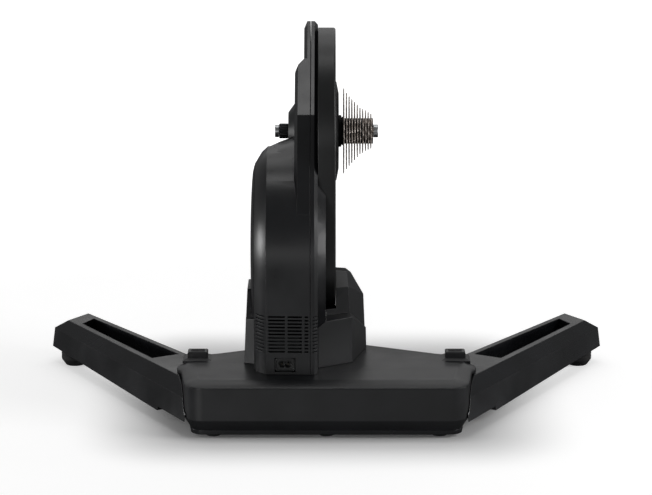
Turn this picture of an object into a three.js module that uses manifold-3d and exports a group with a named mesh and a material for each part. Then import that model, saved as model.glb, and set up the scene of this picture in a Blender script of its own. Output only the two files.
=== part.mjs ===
// Direct drive bike trainer.
// X runs across to the drive side, Y to the front of the bicycle, Z up, in millimetres.
// The model is laid out from the rear face of the base (Y = 0) and moved to its centre at the end.
import * as THREE from 'three';
import { mergeVertices } from 'three/addons/utils/BufferGeometryUtils.js';
import Module from 'manifold-3d';

const wasm = await Module();
wasm.setup();

// Clearances and cutting
const gap = 0.3;
const overrun = 5;
const sweepClearance = 1.5;
const wall = 3;

// Base bar
const footHeight = 5;
const footRadius = 11;
const footInset = 39;
const footSetback = 27;
const plateThickness = 6;
const plateInset = 9;
const baseHalfWidth = 189;
const baseCornerRadius = 27;
const baseFarCornerInset = 1;
const baseFarCornerY = 154;
const baseFarBendInset = 35;
const baseFarBendY = 165;
const baseFarMiddleX = 60;
const baseFarMiddleY = 210;
const tubHeight = 59;
const tubBevelHeight = 15;
const coverHeight = 7.2;
const coverRimHeight = 1.7;
const coverRimInset = 2.5;
const coverBevelInset = 17;
const coverCrown = 0.5;
const beamHalfLength = 112;
const beamHeight = 20;
const beamRear = 60;
const beamFront = 150;

// Legs
const pinInset = 21;
const pinY = 100;
const pinRadius = 6;
const collarRadius = 34;
const collarSpan = THREE.MathUtils.degToRad(36);
const endWallLength = 62;
const endWallClearance = 1;
const barrelRadius = 32;
const legAngle = THREE.MathUtils.degToRad(30.3);
const legFold = THREE.MathUtils.degToRad(31);
const legStartReach = 10;
const legStartY = 78;
const legLength = 357;
const legTipSkew = 23;
const legRootReach = 62;
const legRootFar = 42;
const legTopWidthRoot = 62;
const legTopWidthTip = 43;
const legChamferRoot = 19;
const legChamferTip = 14;
const legSideLean = 0.15;
const legTopDrop = 5.2;
const legUndersideGap = 5;
const legUndersideRise = 5.5;
const legHeelLength = 19;
const legHeelRise = 5.5;
const legShoulderDrop = 17;
const legTipDrop = 9;
const legTipRake = 17;
const slotStart = 98;
const slotEndMargin = 30;
const slotTipSkew = 20;
const slotNearEdge = 9;
const slotRimFar = 8.5;
const tipFootRadius = 20;
const tipFootTread = 14;
const tipFootBevel = 9;
const tipFootSetback = 18;
const tipFootAcross = 2;
const tipFootSeat = 1.5;

// Latches
const latchInset = 14;
const latchY = 127;
const latchBlockWidth = 40;
const latchBlockDepth = 34;
const latchBlockHeight = 2.5;
const latchBlockBevel = 6;
const latchTabWidth = 27;
const latchTabDepth = 20;
const latchTabRise = 7.7;
const latchTabSink = 1.5;
const latchTabThickness = 2.5;
const latchTabEdge = 1.5;
const latchTravel = 4;
const latchStemRadius = 3.5;
const latchSpringRadius = 6.5;
const latchSpringWire = 1.8;

// Axle and cassette
const axleForward = 54;
const axleLift = 11.4;
const axleSpacing = 142;
const axleRadius = 8.5;
const axleBoreRadius = 6;
const axleTipLength = 5.5;
const leftTipRadius = 8.6;
const rightTipLength = 6.5;
const rightTipRadius = 9;
const leftCollarLength = 12.4;
const leftCollarRadius = 10.5;
const leftCollarFlutes = 16;
const leftCollarFluteDepth = 0.9;
const hubCoverLength = 9.2;
const hubCoverRootRadius = 39;
const hubCoverTipRadius = 26;
const sprocketTeeth = [28, 25, 23, 21, 19, 17, 15, 14, 13, 12, 11];
const chainPitch = 12.7;
const chainRollerRadius = 3.97;
const toothHeight = 2;
const toothRootShare = 0.5;
const toothTipShare = 0.14;
const sprocketThickness = 1.6;
const sprocketPitch = 3.74;
const spacerRadius = 17.6;
const spacerStep = 0.6;
const freehubRadius = 15.4;
const freehubFlange = 1.8;
const freehubFlangeRadius = 20;
const lockringRadius = 17.8;
const lockringThickness = 1.8;

// Body: the arm, the drum and their shells
const seamX = -21.5;
const armLeftX = -43;
const armStepX = -30.5;
const armRightX = -11.6;
const armChamfer = 4;
const armChamferReach = 9;
const armEdgeChamfer = 4.6;
const armFootAngle = THREE.MathUtils.degToRad(149.3);
const armCreaseSetback = 100;
const armCreaseRise = 39.5;
const armTopForward = 33;
const armTopRise = 141;
const armEndLength = 13;
const armEndRise = 5;
const armHeadRadius = 150;
const armHeadFrom = THREE.MathUtils.degToRad(68);
const armHeadTo = THREE.MathUtils.degToRad(-25);
const armPanelRadius = 100;
const armPanelBevel = 6;
const armShoulder = 105;
const armShoulderBevel = 16;
const flywheelY = 181;
const drumRadius = 141;
const drumSkirtShare = 0.17;
const flareInset = 13.4;
const flareAngle = THREE.MathUtils.degToRad(50);
const flareOffset = 31;
// Each ring of the drum's swelling: its place from the chamfer to the arm and its share of the offset
const flareShares = [[0, 0.39], [0.41, 0.65], [0.73, 0.81], [1, 1]];
const drumLeftX = -96.5;
const drumChamferX = -80;
const drumDraft = 2;
const drumChamfer = 21.5;
const drumBulge = 3;
const drumCapDepth = 5.6;
const drumCapRim = 7;
// The dome of the end cap: each point's depth and radius
const drumCapShares = [[1, 0], [0.93, 0.57], [0.72, 0.84], [0, 1]];
const drumRightX = -1;
const drumRightChamfer = 15;
const ventRows = 11;
const ventRise = 78.9;
const ventPitch = 4.76;
const ventHeight = 2.1;
const ventSideHeight = 1.1;
const ventReach = 9;
const ventColumns = [[-77, -55], [-51.5, -32.5], [-29, -24]];
const ventChamferColumn = [-94, -82.5];
const ventRightColumn = [-18.5, -12.5];

// Pedestal fairing
const pedestalLeft = -111;
const pedestalWidth = 166;
const pedestalRear = 73;
const pedestalDepth = 110;
const pedestalDrop = 25;
const pedestalBlockDrop = 13.5;
const beltRecessDrop = 44;
const trayRear = 108;
const trayFront = 178;
// Each ring's corners from the left rear round to the left front: shares of width, depth and height
const pedestalRingShares = [
  [[0, 0.22, 0], [0.602, 0, 0], [0.88, 0.27, 0], [1, 0.97, 0], [0.94, 1, 0], [0.4, 1, 0], [0, 0.75, 0]],
  [
    [0.015, 0.23, 0.536], [0.602, 0.02, 0.536], [0.877, 0.29, 0.536], [0.996, 0.97, 0.244],
    [0.934, 1, 0.244], [0.4, 1, 0.536], [0.015, 0.75, 0.536],
  ],
  [
    [0.017, 0.23, 0.555], [0.602, 0.27, 0.555], [0.855, 0.46, 0.555], [0.986, 0.97, 0.263],
    [0.922, 1, 0.263], [0.4, 1, 0.555], [0.017, 0.75, 0.555],
  ],
  [
    [0.028, 0.24, 0.857], [0.602, 0.355, 0.857], [0.846, 0.48, 0.857], [0.974, 0.97, 0.655],
    [0.91, 1, 0.655], [0.4, 1, 0.857], [0.028, 0.75, 0.857],
  ],
  [
    [0.032, 0.26, 1], [0.602, 0.7, 1], [0.837, 0.79, 0.965], [0.868, 0.94, 0.93], [0.825, 1, 0.965],
    [0.4, 1, 1], [0.032, 0.75, 1],
  ],
];

// Belt drive
const beltCoverRight = 12.4;
const beltCoverRoom = 14;
const beltCoverFootInset = 56;
const beltCoverBevel = 3;
const beltPanThickness = 2.3;
const pulleyRoom = 11.7;
const pulleyWidth = 14;
const pulleyRimDepth = 8;
const pulleyWebThickness = 5;
const pulleyEdge = 1;
const pulleyWindows = 6;
const pulleyWindowRadius = 24;
const pulleyWindowReach = 78;
const smallPulleyRadius = 22;
const beltThickness = 2.5;
const hubRadius = 22;
const hubEnd = 20.5;
const hubHoleClearance = 2;
const guardRadius = 68;
const guardTopRadius = 52;
const guardHeight = 4.1;
const idlerRadius = 13;
const idlerShare = 0.24;
const idlerArmLength = 26;
const idlerArmWidth = 14;
const idlerArmThickness = 2.2;
const idlerPinRadius = 4;
const bearingRadius = 17.5;
const bearingWidth = 9;

// Flywheel and brake
const shaftRadius = 8.5;
const shaftLeft = -93;
const flywheelRoom = 43;
const flywheelLeft = -86;
const flywheelWidth = 26;
const flywheelRim = 26;
const flywheelWeb = 10;
const flywheelHubRadius = 20;
const flywheelHubReach = 4;
const yokeReach = 20;
const yokeClearance = 1.2;
const yokeThickness = 4;
const yokeWebGap = 6;
const yokeWebThickness = 8;
const yokeWidth = 40;
const coilWidth = 14;
const coilThickness = 3.4;

// Casting
const castingLeft = -36;
const castingThickness = 20;
const castingAxleRadius = 32;
const castingShaftRadius = 34;
const castingFootRear = 68;
const castingFootFront = 148;
const castingFootRise = 61;
const shaftBossLeft = -46;
const shaftBossRadius = 22;
const axleBossRadius = 22;
const bossRight = -12.2;
const castingWindowRadius = 14;
const castingWindowShare = 0.5;

// Mains inlet
const inletX = -55;
const inletRise = 13;
const inletWidth = 27;
const inletHeight = 18.6;
const inletDepth = 15;
const inletRecess = 2;
const inletLobeRadius = 4.4;
const inletLobeReach = 4.1;
const inletSocketDepth = 11;
const inletPinRadius = 1.1;
const inletPinLength = 7;
const boardThickness = 1.6;
const boardWidth = 44;
const boardHeight = 46;

// Derived places
const footSpread = baseHalfWidth - footInset;
const baseFarCornerX = baseHalfWidth - baseFarCornerInset;
const baseFarBendX = baseHalfWidth - baseFarBendInset;
const pinX = baseHalfWidth - pinInset;
const latchX = baseHalfWidth - latchInset;
const legStartX = baseHalfWidth + legStartReach;
const slotEnd = legLength - slotEndMargin;
const tipFootAlong = legLength - tipFootSetback;
const plateTop = footHeight + plateThickness;
const tubBottom = plateTop + gap;
const tubTop = tubBottom + tubHeight;
const legTopRoot = tubTop - wall;
const deckBottom = legTopRoot + gap * 2;
const coverBottom = tubTop + gap;
const coverTop = coverBottom + coverHeight;
const bodyFloor = coverTop + gap;
const drumZ = bodyFloor + drumRadius;
const axleY = flywheelY + axleForward;
const axleZ = drumZ + drumRadius + axleLift;
const driveReach = Math.hypot(axleForward, drumRadius + axleLift);
const pulleyRadius = driveReach - smallPulleyRadius - pulleyRoom;
const beltCoverRadius = pulleyRadius + beltCoverRoom;
const beltCoverFootRadius = drumRadius - beltCoverFootInset;
const pedestalHeight = drumRadius - pedestalDrop;
const pedestalBlockHeight = pedestalHeight - pedestalBlockDrop;
const beltRecessRise = pedestalHeight - beltRecessDrop;
const flareRadius = drumRadius - flareInset;
const flywheelRadius = drumRadius - flywheelRoom;
const yokeWebInner = flywheelRadius + yokeWebGap;
const yokeWebOuter = yokeWebInner + yokeWebThickness;
const hubCoverLeft = armLeftX - gap - hubCoverLength;
const leftCollarLeft = hubCoverLeft - gap - leftCollarLength;
const legBottomRoot = plateTop + legUndersideGap;
const castingRight = castingLeft + castingThickness;
const beamTop = plateTop + gap + beamHeight;
const castingFootZ = beamTop + gap;
const inletZ = bodyFloor + inletRise;
const beltCoverLeft = armRightX + gap;
const coverFloor = beltCoverRight - wall;
const pulleyLeft = beltCoverLeft + beltPanThickness + gap * 2;
const pulleyRight = pulleyLeft + pulleyWidth;
const beltLeft = pulleyLeft + pulleyEdge + gap;
const beltRight = pulleyRight - pulleyEdge - gap;
const cassetteLeft = hubEnd + gap + freehubFlange + gap;
const lockringLeft = cassetteLeft + sprocketPitch * (sprocketTeeth.length - 1) + sprocketThickness + gap;
const flywheelRight = flywheelLeft + flywheelWidth;
const axleLeft = -axleSpacing / 2;
const axleRight = axleSpacing / 2;
const axleTubeLeft = axleLeft + axleTipLength + gap;
const axleTubeRight = axleRight - rightTipLength - gap;
const boreClearance = axleRadius + gap;

// Finishes
const moulded = { color: 0x17181a, roughness: 0.52, metalness: 0 };
const rubber = { color: 0x0e0e0f, roughness: 0.85, metalness: 0 };
const castBlack = { color: 0x1a1b1d, roughness: 0.45, metalness: 0.2 };
const aluminium = { color: 0xa9abad, roughness: 0.4, metalness: 1 };
const steel = { color: 0x8b8d90, roughness: 0.35, metalness: 1 };
const sprocketSteel = { color: 0x6d6660, roughness: 0.35, metalness: 1 };
const blackSteel = { color: 0x1c1c1e, roughness: 0.4, metalness: 0.6 };
const copper = { color: 0xb5653a, roughness: 0.4, metalness: 1 };
const boardBlack = { color: 0x141a18, roughness: 0.6, metalness: 0 };

// Solids
const weldTolerance = 1e-4;

function signedVolume(geometry) {
  const { position } = geometry.attributes;
  const ends = [new THREE.Vector3(), new THREE.Vector3(), new THREE.Vector3()];
  let volume = 0;
  for (let start = 0; start < geometry.index.count; start += ends.length) {
    ends.forEach((end, step) => end.fromBufferAttribute(position, geometry.index.getX(start + step)));
    volume += ends[0].dot(ends[1].cross(ends[2])) / 6;
  }
  return volume;
}

function welded(geometry) {
  const bare = new THREE.BufferGeometry();
  bare.setAttribute('position', geometry.attributes.position.clone());
  if (geometry.index) bare.setIndex(geometry.index.clone());
  const merged = mergeVertices(bare, weldTolerance);
  const kept = [];
  for (let start = 0; start < merged.index.count; start += 3) {
    const [a, b, c] = [0, 1, 2].map((step) => merged.index.getX(start + step));
    if (a !== b && b !== c && c !== a) kept.push(a, b, c);
  }
  merged.setIndex(kept);
  if (signedVolume(merged) < 0) merged.setIndex(kept.reverse());
  return merged;
}

function toSolid(shape) {
  if (!shape.isBufferGeometry) return shape;
  const mesh = welded(shape);
  return new wasm.Manifold(new wasm.Mesh({
    numProp: 3,
    vertProperties: Float32Array.from(mesh.attributes.position.array),
    triVerts: Uint32Array.from(mesh.index.array),
  }));
}

function toGeometry(shape) {
  if (shape.isBufferGeometry) return welded(shape);
  const mesh = shape.getMesh();
  const geometry = new THREE.BufferGeometry();
  geometry.setAttribute('position', new THREE.BufferAttribute(mesh.vertProperties, mesh.numProp));
  geometry.setIndex(new THREE.BufferAttribute(mesh.triVerts, 1));
  return geometry;
}

const join = (first, ...others) => others.reduce((sum, next) => sum.add(toSolid(next)), toSolid(first));
const cut = (first, ...tools) => tools.reduce((rest, next) => rest.subtract(toSolid(next)), toSolid(first));
const overlap = (first, second) => toSolid(first).intersect(toSolid(second));

// Outlines, as lists of points
const point = (x, y) => new THREE.Vector2(x, y);

// The point at a distance and an angle from a centre.
const around = (centre, radius, angle) => (
  point(centre.x + radius * Math.cos(angle), centre.y + radius * Math.sin(angle))
);

const arc = (centre, radius, from, to, steps) => (
  Array.from({ length: steps + 1 }, (_, step) => around(centre, radius, from + ((to - from) * step) / steps))
);

const circle = (centre, radius, segments) => arc(centre, radius, 0, Math.PI * 2, segments).slice(1);

// Moves every side of an outline inwards, or outwards where the distance is negative.
function inset(outline, distance) {
  const inward = THREE.ShapeUtils.area(outline) > 0 ? distance : -distance;
  return outline.map((here, spot) => {
    const before = outline[(spot + outline.length - 1) % outline.length];
    const after = outline[(spot + 1) % outline.length];
    const first = here.clone().sub(before).normalize();
    const second = after.clone().sub(here).normalize();
    const bisector = point(-first.y - second.y, first.x + second.x).normalize();
    const spread = bisector.dot(point(-first.y, first.x));
    return here.clone().addScaledVector(bisector, inward / spread);
  });
}

function box(low, high) {
  const size = new THREE.Vector3().subVectors(high, low);
  const shape = new THREE.BoxGeometry(size.x, size.y, size.z);
  return shape.translate(...low.clone().add(high).divideScalar(2).toArray());
}

const corner = (x, y, z) => new THREE.Vector3(x, y, z);

// An outline in X and Y, pulled up from one height to another.
function prism(outline, low, high, holes = []) {
  const shape = new THREE.Shape(outline);
  holes.forEach((hole) => shape.holes.push(new THREE.Path(hole)));
  return new THREE.ExtrudeGeometry(shape, { depth: high - low, bevelEnabled: false }).translate(0, 0, low);
}

// An outline in Y and Z, pulled along X from left to right.
const sideways = new THREE.Matrix4().makeBasis(corner(0, 1, 0), corner(0, 0, 1), corner(1, 0, 0));
const slab = (outline, left, right, holes) => prism(outline, left, right, holes).applyMatrix4(sideways);

// A skin through rings of points, closed at both ends.
function loft(given, flatten) {
  const forward = THREE.ShapeUtils.area(given[0].map(flatten)) > 0;
  const rings = forward ? given : given.map((ring) => ring.slice().reverse());
  const count = rings[0].length;
  const index = [];
  for (let ring = 0; ring < rings.length - 1; ring += 1) {
    for (let spot = 0; spot < count; spot += 1) {
      const next = (spot + 1) % count;
      const [a, b] = [ring * count + spot, ring * count + next];
      index.push(a, b, b + count, a, b + count, a + count);
    }
  }
  const lastStart = (rings.length - 1) * count;
  THREE.ShapeUtils.triangulateShape(rings[0].map(flatten), []).forEach(([a, b, c]) => index.push(c, b, a));
  THREE.ShapeUtils.triangulateShape(rings.at(-1).map(flatten), []).forEach(([a, b, c]) => {
    index.push(lastStart + a, lastStart + b, lastStart + c);
  });
  const geometry = new THREE.BufferGeometry().setFromPoints(rings.flat());
  return geometry.setIndex(index);
}

// Outlines in X and Y stacked by height, each as [outline, height].
const stack = (levels) => loft(
  levels.map(([outline, height]) => outline.map(({ x, y }) => corner(x, y, height))),
  ({ x, y }) => point(x, y),
);

// Outlines in Y and Z set side by side along X, each as [outline, place].
const row = (stations) => loft(
  stations.map(([outline, place]) => outline.map(({ x, y }) => corner(place, x, y))),
  ({ y, z }) => point(y, z),
);

// A profile of [place along X, radius] turned about an axis along X.
function turned(profile, axis, segments) {
  const points = profile.map(([place, radius]) => point(radius, place));
  const shape = new THREE.LatheGeometry(points, segments).rotateZ(-Math.PI / 2);
  return shape.translate(0, axis.x, axis.y);
}

const rod = (radius, left, right, axis, segments) => (
  turned([[left, 0], [left, radius], [right, radius], [right, 0]], axis, segments)
);

const ring = (inner, outer, left, right, axis, segments) => turned(
  [[left, inner], [left, outer], [right, outer], [right, inner], [left, inner]], axis, segments,
);

// An upright cylinder standing at a point of X and Y.
function post(radius, low, high, place, segments) {
  const shape = new THREE.CylinderGeometry(radius, radius, high - low, segments).rotateX(Math.PI / 2);
  return shape.translate(place.x, place.y, (low + high) / 2);
}

const smooth = 40;
const round = 24;
const small = 16;
const tiny = 8;
const sweepSteps = 5;
const sides = [['left', -1], ['right', 1]];

const axle = point(axleY, axleZ);
const hub = point(flywheelY, drumZ);
const trainer = new THREE.Group();

function addPart(name, shape, finish) {
  const geometry = toGeometry(shape).toNonIndexed();
  geometry.computeVertexNormals();
  const mesh = new THREE.Mesh(geometry, new THREE.MeshStandardMaterial(finish));
  mesh.name = name;
  trainer.add(mesh);
}

// The outline round two pulleys, in Y and Z: an arc about the axle and an arc about the flywheel.
const driveAngle = axle.clone().sub(hub).angle();

function driveLoop(topRadius, bottomRadius, steps = smooth / 2) {
  const lean = Math.acos((bottomRadius - topRadius) / driveReach);
  const top = arc(axle, topRadius, driveAngle - lean, driveAngle + lean, steps);
  const foot = arc(hub, bottomRadius, driveAngle + lean, driveAngle + Math.PI * 2 - lean, steps / 2);
  return [...top, ...foot];
}

// The drum's outline in Y and Z: round above, straight down to the floor behind and below.
function drumOutline(radius, floor = bodyFloor) {
  const startAngle = Math.asin(drumSkirtShare) - Math.PI / 2;
  const front = hub.x + radius * drumSkirtShare;
  return [
    ...arc(hub, radius, startAngle, Math.PI, smooth),
    point(hub.x - radius, floor),
    point(front, floor),
  ];
}

// The arm's outline in Y and Z, from the drum over the crease to the head about the axle.
const armFoot = around(hub, drumRadius, armFootAngle);
const armCrease = axle.clone().add(point(-armCreaseSetback, armCreaseRise));
const armTop = axle.clone().add(point(armTopForward, armTopRise));
const armOutline = [
  armFoot,
  hub,
  ...arc(axle, armHeadRadius, armHeadTo, armHeadFrom, small),
  armTop.clone().add(point(armEndLength, armEndRise)),
  armTop,
  armCrease,
];

// The outline of the arm's thicker left part, which ends below the top.
function armPanel(radius, shoulder) {
  const upward = armTop.clone().sub(armCrease).normalize();
  return [
    armFoot,
    hub,
    ...arc(axle, radius, armHeadTo, armHeadFrom, small / 2),
    armCrease.clone().addScaledVector(upward, shoulder),
    armCrease,
  ];
}

// Base bar

function baseOutline() {
  const rearCorner = point(baseHalfWidth - baseCornerRadius, baseCornerRadius);
  const half = [
    ...arc(rearCorner, baseCornerRadius, -Math.PI / 2, 0, tiny),
    ...arc(point(pinX, pinY), collarRadius, -collarSpan, collarSpan, tiny),
    point(baseFarCornerX, baseFarCornerY),
    point(baseFarBendX, baseFarBendY),
    point(baseFarMiddleX, baseFarMiddleY),
  ];
  const mirrored = half.map(({ x, y }) => point(-x, y)).reverse();
  return [...half, ...mirrored];
}

const baseShape = baseOutline();
const castingHole = [
  point(castingLeft - gap * 2, castingFootRear - gap * 2),
  point(castingRight + gap * 2, castingFootRear - gap * 2),
  point(castingRight + gap * 2, castingFootFront + gap * 2),
  point(castingLeft - gap * 2, castingFootFront + gap * 2),
];
const castingOpening = prism(castingHole, tubTop - wall - overrun, bodyFloor + wall + overrun);

// A point of a leg, given along it, across it towards the middle and in height.
function legPoint(side, along, across) {
  return point(
    side * (legStartX + along * Math.sin(legAngle) - across * Math.cos(legAngle)),
    legStartY + along * Math.cos(legAngle) + across * Math.sin(legAngle),
  );
}

// A leg's rings from its underside to its top. The top, the chamfer and the rear side are each flat.
function legLevels(side) {
  const far = legLength + legTipSkew;
  const topAt = (along) => legTopRoot - (legTopDrop * along) / legLength;
  const bottomAt = (along) => legBottomRoot + (legUndersideRise * along) / legLength;
  const chamferAt = (along, across) => topAt(along) + (across * legShoulderDrop) / legChamferRoot;
  const footAt = (along, across) => across - legSideLean * (chamferAt(along, across) - bottomAt(along));
  const rearTip = legLength + legTipRake;
  return [
    [
      [-legRootReach, footAt(-legRootReach, -legChamferRoot), bottomAt(-legRootReach)],
      [rearTip, footAt(rearTip, -legChamferTip), bottomAt(rearTip)],
      [far + legTipRake / 2, legTopWidthTip, bottomAt(far)],
      [legRootFar, legTopWidthRoot, bottomAt(legRootFar)],
    ], [
      [-legRootReach, -legChamferRoot, chamferAt(-legRootReach, -legChamferRoot)],
      [rearTip, -legChamferTip, chamferAt(rearTip, -legChamferTip)],
      [far + legTipRake, legTopWidthTip, topAt(far) - legTipDrop],
      [legRootFar, legTopWidthRoot, topAt(legRootFar) - legShoulderDrop],
    ], [
      [0, 0, topAt(0)], [legLength, 0, topAt(legLength)],
      [far, legTopWidthTip, topAt(far)], [legRootFar, legTopWidthRoot, topAt(legRootFar)],
    ],
  ].map((ring) => ring.map(([along, across, height]) => {
    const place = legPoint(side, along, across);
    return corner(place.x, place.y, height);
  }));
}

// The stretch of the base bar's end wall that stays closed beside a leg's root.
function endWall(margin) {
  const stretch = box(
    corner(-baseHalfWidth - collarRadius, -overrun, 0),
    corner(baseHalfWidth + collarRadius, endWallLength + margin, tubTop),
  );
  return overlap(prism(inset(baseShape, -margin), 0, tubTop), stretch);
}

// The room that a folding leg needs inside the base bar.
function legSweep(side) {
  const pin = point(side * pinX, pinY);
  const [foot] = legLevels(side);
  const plan = foot.map(({ x, y }) => point(x, y));
  const [low, high] = [tubBottom - overrun, deckBottom];
  const barrel = post(barrelRadius + sweepClearance, low, high, pin, round);
  const turns = Array.from({ length: sweepSteps + 1 }, (_, step) => {
    const turn = (side * legFold * step) / sweepSteps;
    const outline = inset(plan.map((spot) => spot.clone().rotateAround(pin, turn)), -sweepClearance);
    return prism(outline, low, high);
  });
  return cut(join(barrel, ...turns), endWall(0));
}

function addBase() {
  const bevelTop = tubBottom + tubBevelHeight;
  const tub = stack([
    [inset(baseShape, plateInset), tubBottom], [baseShape, bevelTop], [baseShape, tubTop],
  ]);
  const inner = stack([
    [inset(baseShape, plateInset + wall), tubBottom - overrun],
    [inset(baseShape, plateInset + wall), tubBottom],
    [inset(baseShape, wall), bevelTop],
    [inset(baseShape, wall), deckBottom],
  ]);
  const stemHole = latchStemRadius + gap;
  const stems = sides.map(([, side]) => (
    post(stemHole, tubTop - overrun * 2, coverTop + overrun * 2, point(side * latchX, latchY), small)
  ));
  const sweeps = sides.map(([, side]) => legSweep(side));
  addPart('base_tub', cut(tub, inner, ...sweeps, castingOpening, ...stems), moulded);

  const plate = prism(inset(baseShape, plateInset), footHeight, plateTop);
  addPart('base_plate', plate, blackSteel);

  const lid = stack([
    [baseShape, coverBottom],
    [inset(baseShape, coverRimInset), coverBottom + coverRimHeight],
    [inset(baseShape, coverBevelInset), coverTop - coverCrown],
    [inset(baseShape, coverBevelInset + wall), coverTop],
  ]);
  const blocks = sides.map(([, side]) => latchBlock(side));
  const pockets = sides.map(([, side]) => (
    prism(tabOutline(side, -gap), latchPocketFloor, latchBlockTop + overrun)
  ));
  addPart('base_top_cover', cut(join(lid, ...blocks), castingOpening, ...stems, ...pockets), moulded);

  const beam = box(
    corner(-beamHalfLength, beamRear, plateTop + gap), corner(beamHalfLength, beamFront, beamTop),
  );
  const channel = box(
    corner(-beamHalfLength - overrun, beamRear + wall, plateTop - overrun),
    corner(beamHalfLength + overrun, beamFront - wall, beamTop - wall),
  );
  addPart('chassis_beam', cut(beam, channel), blackSteel);

  [['left', -footSpread], ['centre', 0], ['right', footSpread]].forEach(([name, place]) => {
    const foot = post(footRadius, 0, footHeight - gap, point(place, footSetback), small);
    addPart(`rear_foot_${name}`, foot, rubber);
  });
}

// Latches

const latchBlockTop = coverTop + latchBlockHeight;
const latchTabBottom = latchBlockTop - latchTabSink;
const latchTabTop = latchBlockTop + latchTabRise;
const latchPocketFloor = latchTabBottom - latchTravel - gap;

// A rectangle about a latch's centre.
function latchOutline(side, width, depth) {
  return [[-1, -1], [1, -1], [1, 1], [-1, 1]].map(([x, y]) => (
    point(side * latchX + (x * width) / 2, latchY + (y * depth) / 2)
  ));
}

// A latch tab's outline, drawn in by a margin or widened where it is negative.
const tabOutline = (side, margin) => inset(latchOutline(side, latchTabWidth, latchTabDepth), margin);

function latchBlock(side) {
  const outline = latchOutline(side, latchBlockWidth, latchBlockDepth);
  return stack([
    [outline, coverBottom + coverRimHeight], [outline, coverTop - coverCrown],
    [inset(outline, latchBlockBevel), latchBlockTop],
  ]);
}

function addLatch(name, side) {
  const place = point(side * latchX, latchY);
  const roof = latchTabTop - latchTabThickness;
  const block = stack([
    [tabOutline(side, 0), latchTabBottom], [tabOutline(side, 0), latchTabTop - latchTabEdge],
    [tabOutline(side, latchTabEdge), latchTabTop],
  ]);
  const recess = post(latchSpringRadius + gap * 2, latchTabBottom - overrun, roof, place, small);
  const stem = post(latchStemRadius, tubTop - wall + latchTravel + gap * 2, roof + gap, place, small);
  addPart(`${name}_latch_tab`, join(cut(block, recess), stem), moulded);

  const [seat, end] = [latchPocketFloor + gap, roof - gap];
  const coil = post(latchSpringRadius, seat, end, place, small);
  const core = post(latchSpringRadius - latchSpringWire, seat - overrun, end + overrun, place, small);
  addPart(`${name}_latch_spring`, cut(coil, core), steel);
}

// Legs

function addLeg(name, side) {
  const pin = point(side * pinX, pinY);
  const barrel = post(barrelRadius, legBottomRoot, legTopRoot, pin, round);
  const tipBottom = legBottomRoot + legUndersideRise;
  const farEdge = (along) => {
    const share = (along - legRootFar) / (legLength + legTipSkew - legRootFar);
    return legTopWidthRoot + (legTopWidthTip - legTopWidthRoot) * share - slotRimFar;
  };
  const slot = [
    [slotStart, slotNearEdge], [slotEnd, slotNearEdge],
    [slotEnd + slotTipSkew, farEdge(slotEnd + slotTipSkew)], [slotStart, farEdge(slotStart)],
  ].map(([along, across]) => legPoint(side, along, across));
  const slotTool = prism(slot, legBottomRoot - overrun, legTopRoot + overrun);
  const footPlace = legPoint(side, tipFootAlong, tipFootAcross);
  const seatRadius = tipFootRadius + gap;
  const footSeat = post(seatRadius, legBottomRoot - overrun, tipBottom + tipFootSeat, footPlace, round);
  const pinHole = post(pinRadius + gap, legBottomRoot - overrun, legTopRoot + overrun, pin, small);
  const levels = legLevels(side);
  const body = loft(levels, ({ x, y }) => point(x, y));
  const heel = prism([
    [-legRootReach - overrun, -legTopWidthRoot], [legHeelLength, -legTopWidthRoot],
    [legHeelLength, 0], [-legRootReach - overrun, 0],
  ].map(([along, across]) => legPoint(side, along, across)), 0, legBottomRoot + legHeelRise);
  const outside = cut(body, endWall(endWallClearance), heel);
  addPart(`${name}_leg`, cut(join(outside, barrel), slotTool, pinHole, footSeat), castBlack);

  const tread = new THREE.CylinderGeometry(tipFootRadius, tipFootTread, tipFootBevel, round)
    .rotateX(Math.PI / 2).translate(footPlace.x, footPlace.y, tipFootBevel / 2);
  const disc = post(tipFootRadius, tipFootBevel, tipBottom + tipFootSeat - gap, footPlace, round);
  addPart(`${name}_leg_foot`, join(tread, disc), rubber);

  const pinTop = tubTop - wall + gap;
  addPart(`${name}_hinge_pin`, post(pinRadius, plateTop + gap, pinTop, pin, small), steel);
}

// Body shells

const drumAtChamfer = drumRadius - drumDraft;
const drumAtLeft = drumAtChamfer - drumChamfer;
const chamferMiddle = [(drumLeftX + drumChamferX) / 2, (drumAtLeft + drumAtChamfer) / 2 + drumBulge];

// The drum as [outline, place] pairs, left and right of the seam. The margin thins or swells it.
function leftDrum(margin, reach, floor) {
  return row([
    [drumLeftX + margin, drumAtLeft - margin],
    [chamferMiddle[0], chamferMiddle[1] - margin],
    [drumChamferX, drumAtChamfer - margin],
    [seamX - gap, drumRadius - margin],
    ...(reach ? [[seamX + reach, drumRadius - margin]] : []),
  ].map(([place, radius]) => [drumOutline(radius, floor), place]));
}

function rightDrum(margin, reach, floor) {
  const skirted = row([
    ...(reach ? [[seamX - reach, drumRadius - margin]] : []),
    [seamX + gap, drumRadius - margin],
    [armRightX - armEdgeChamfer, drumRadius - margin],
    [armRightX, drumRadius - armChamfer - margin],
  ].map(([place, radius]) => [drumOutline(radius, floor), place]));
  const shoulder = turned([
    [armRightX - armEdgeChamfer, 0], [armRightX - armEdgeChamfer, drumRadius - armChamfer - margin],
    [armRightX, drumRadius - armChamfer - margin],
    [drumRightX - margin, drumRadius - drumRightChamfer - margin], [drumRightX - margin, 0],
  ], hub, smooth);
  return join(skirted, shoulder);
}

// The swelling that carries the drum's top over to the hub cover.
function flare(margin) {
  return row(flareShares.map(([placeShare, offsetShare]) => {
    const centre = around(hub, flareOffset * offsetShare, flareAngle);
    const place = drumChamferX + (armLeftX - drumChamferX) * placeShare;
    return [circle(centre, flareRadius + margin, round), place];
  }));
}

// The drum's radius at a place along X, on its drafted left part.
function drumRadiusAt(place) {
  return drumRadius - (drumDraft * (seamX - place)) / (seamX - drumChamferX);
}

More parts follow.
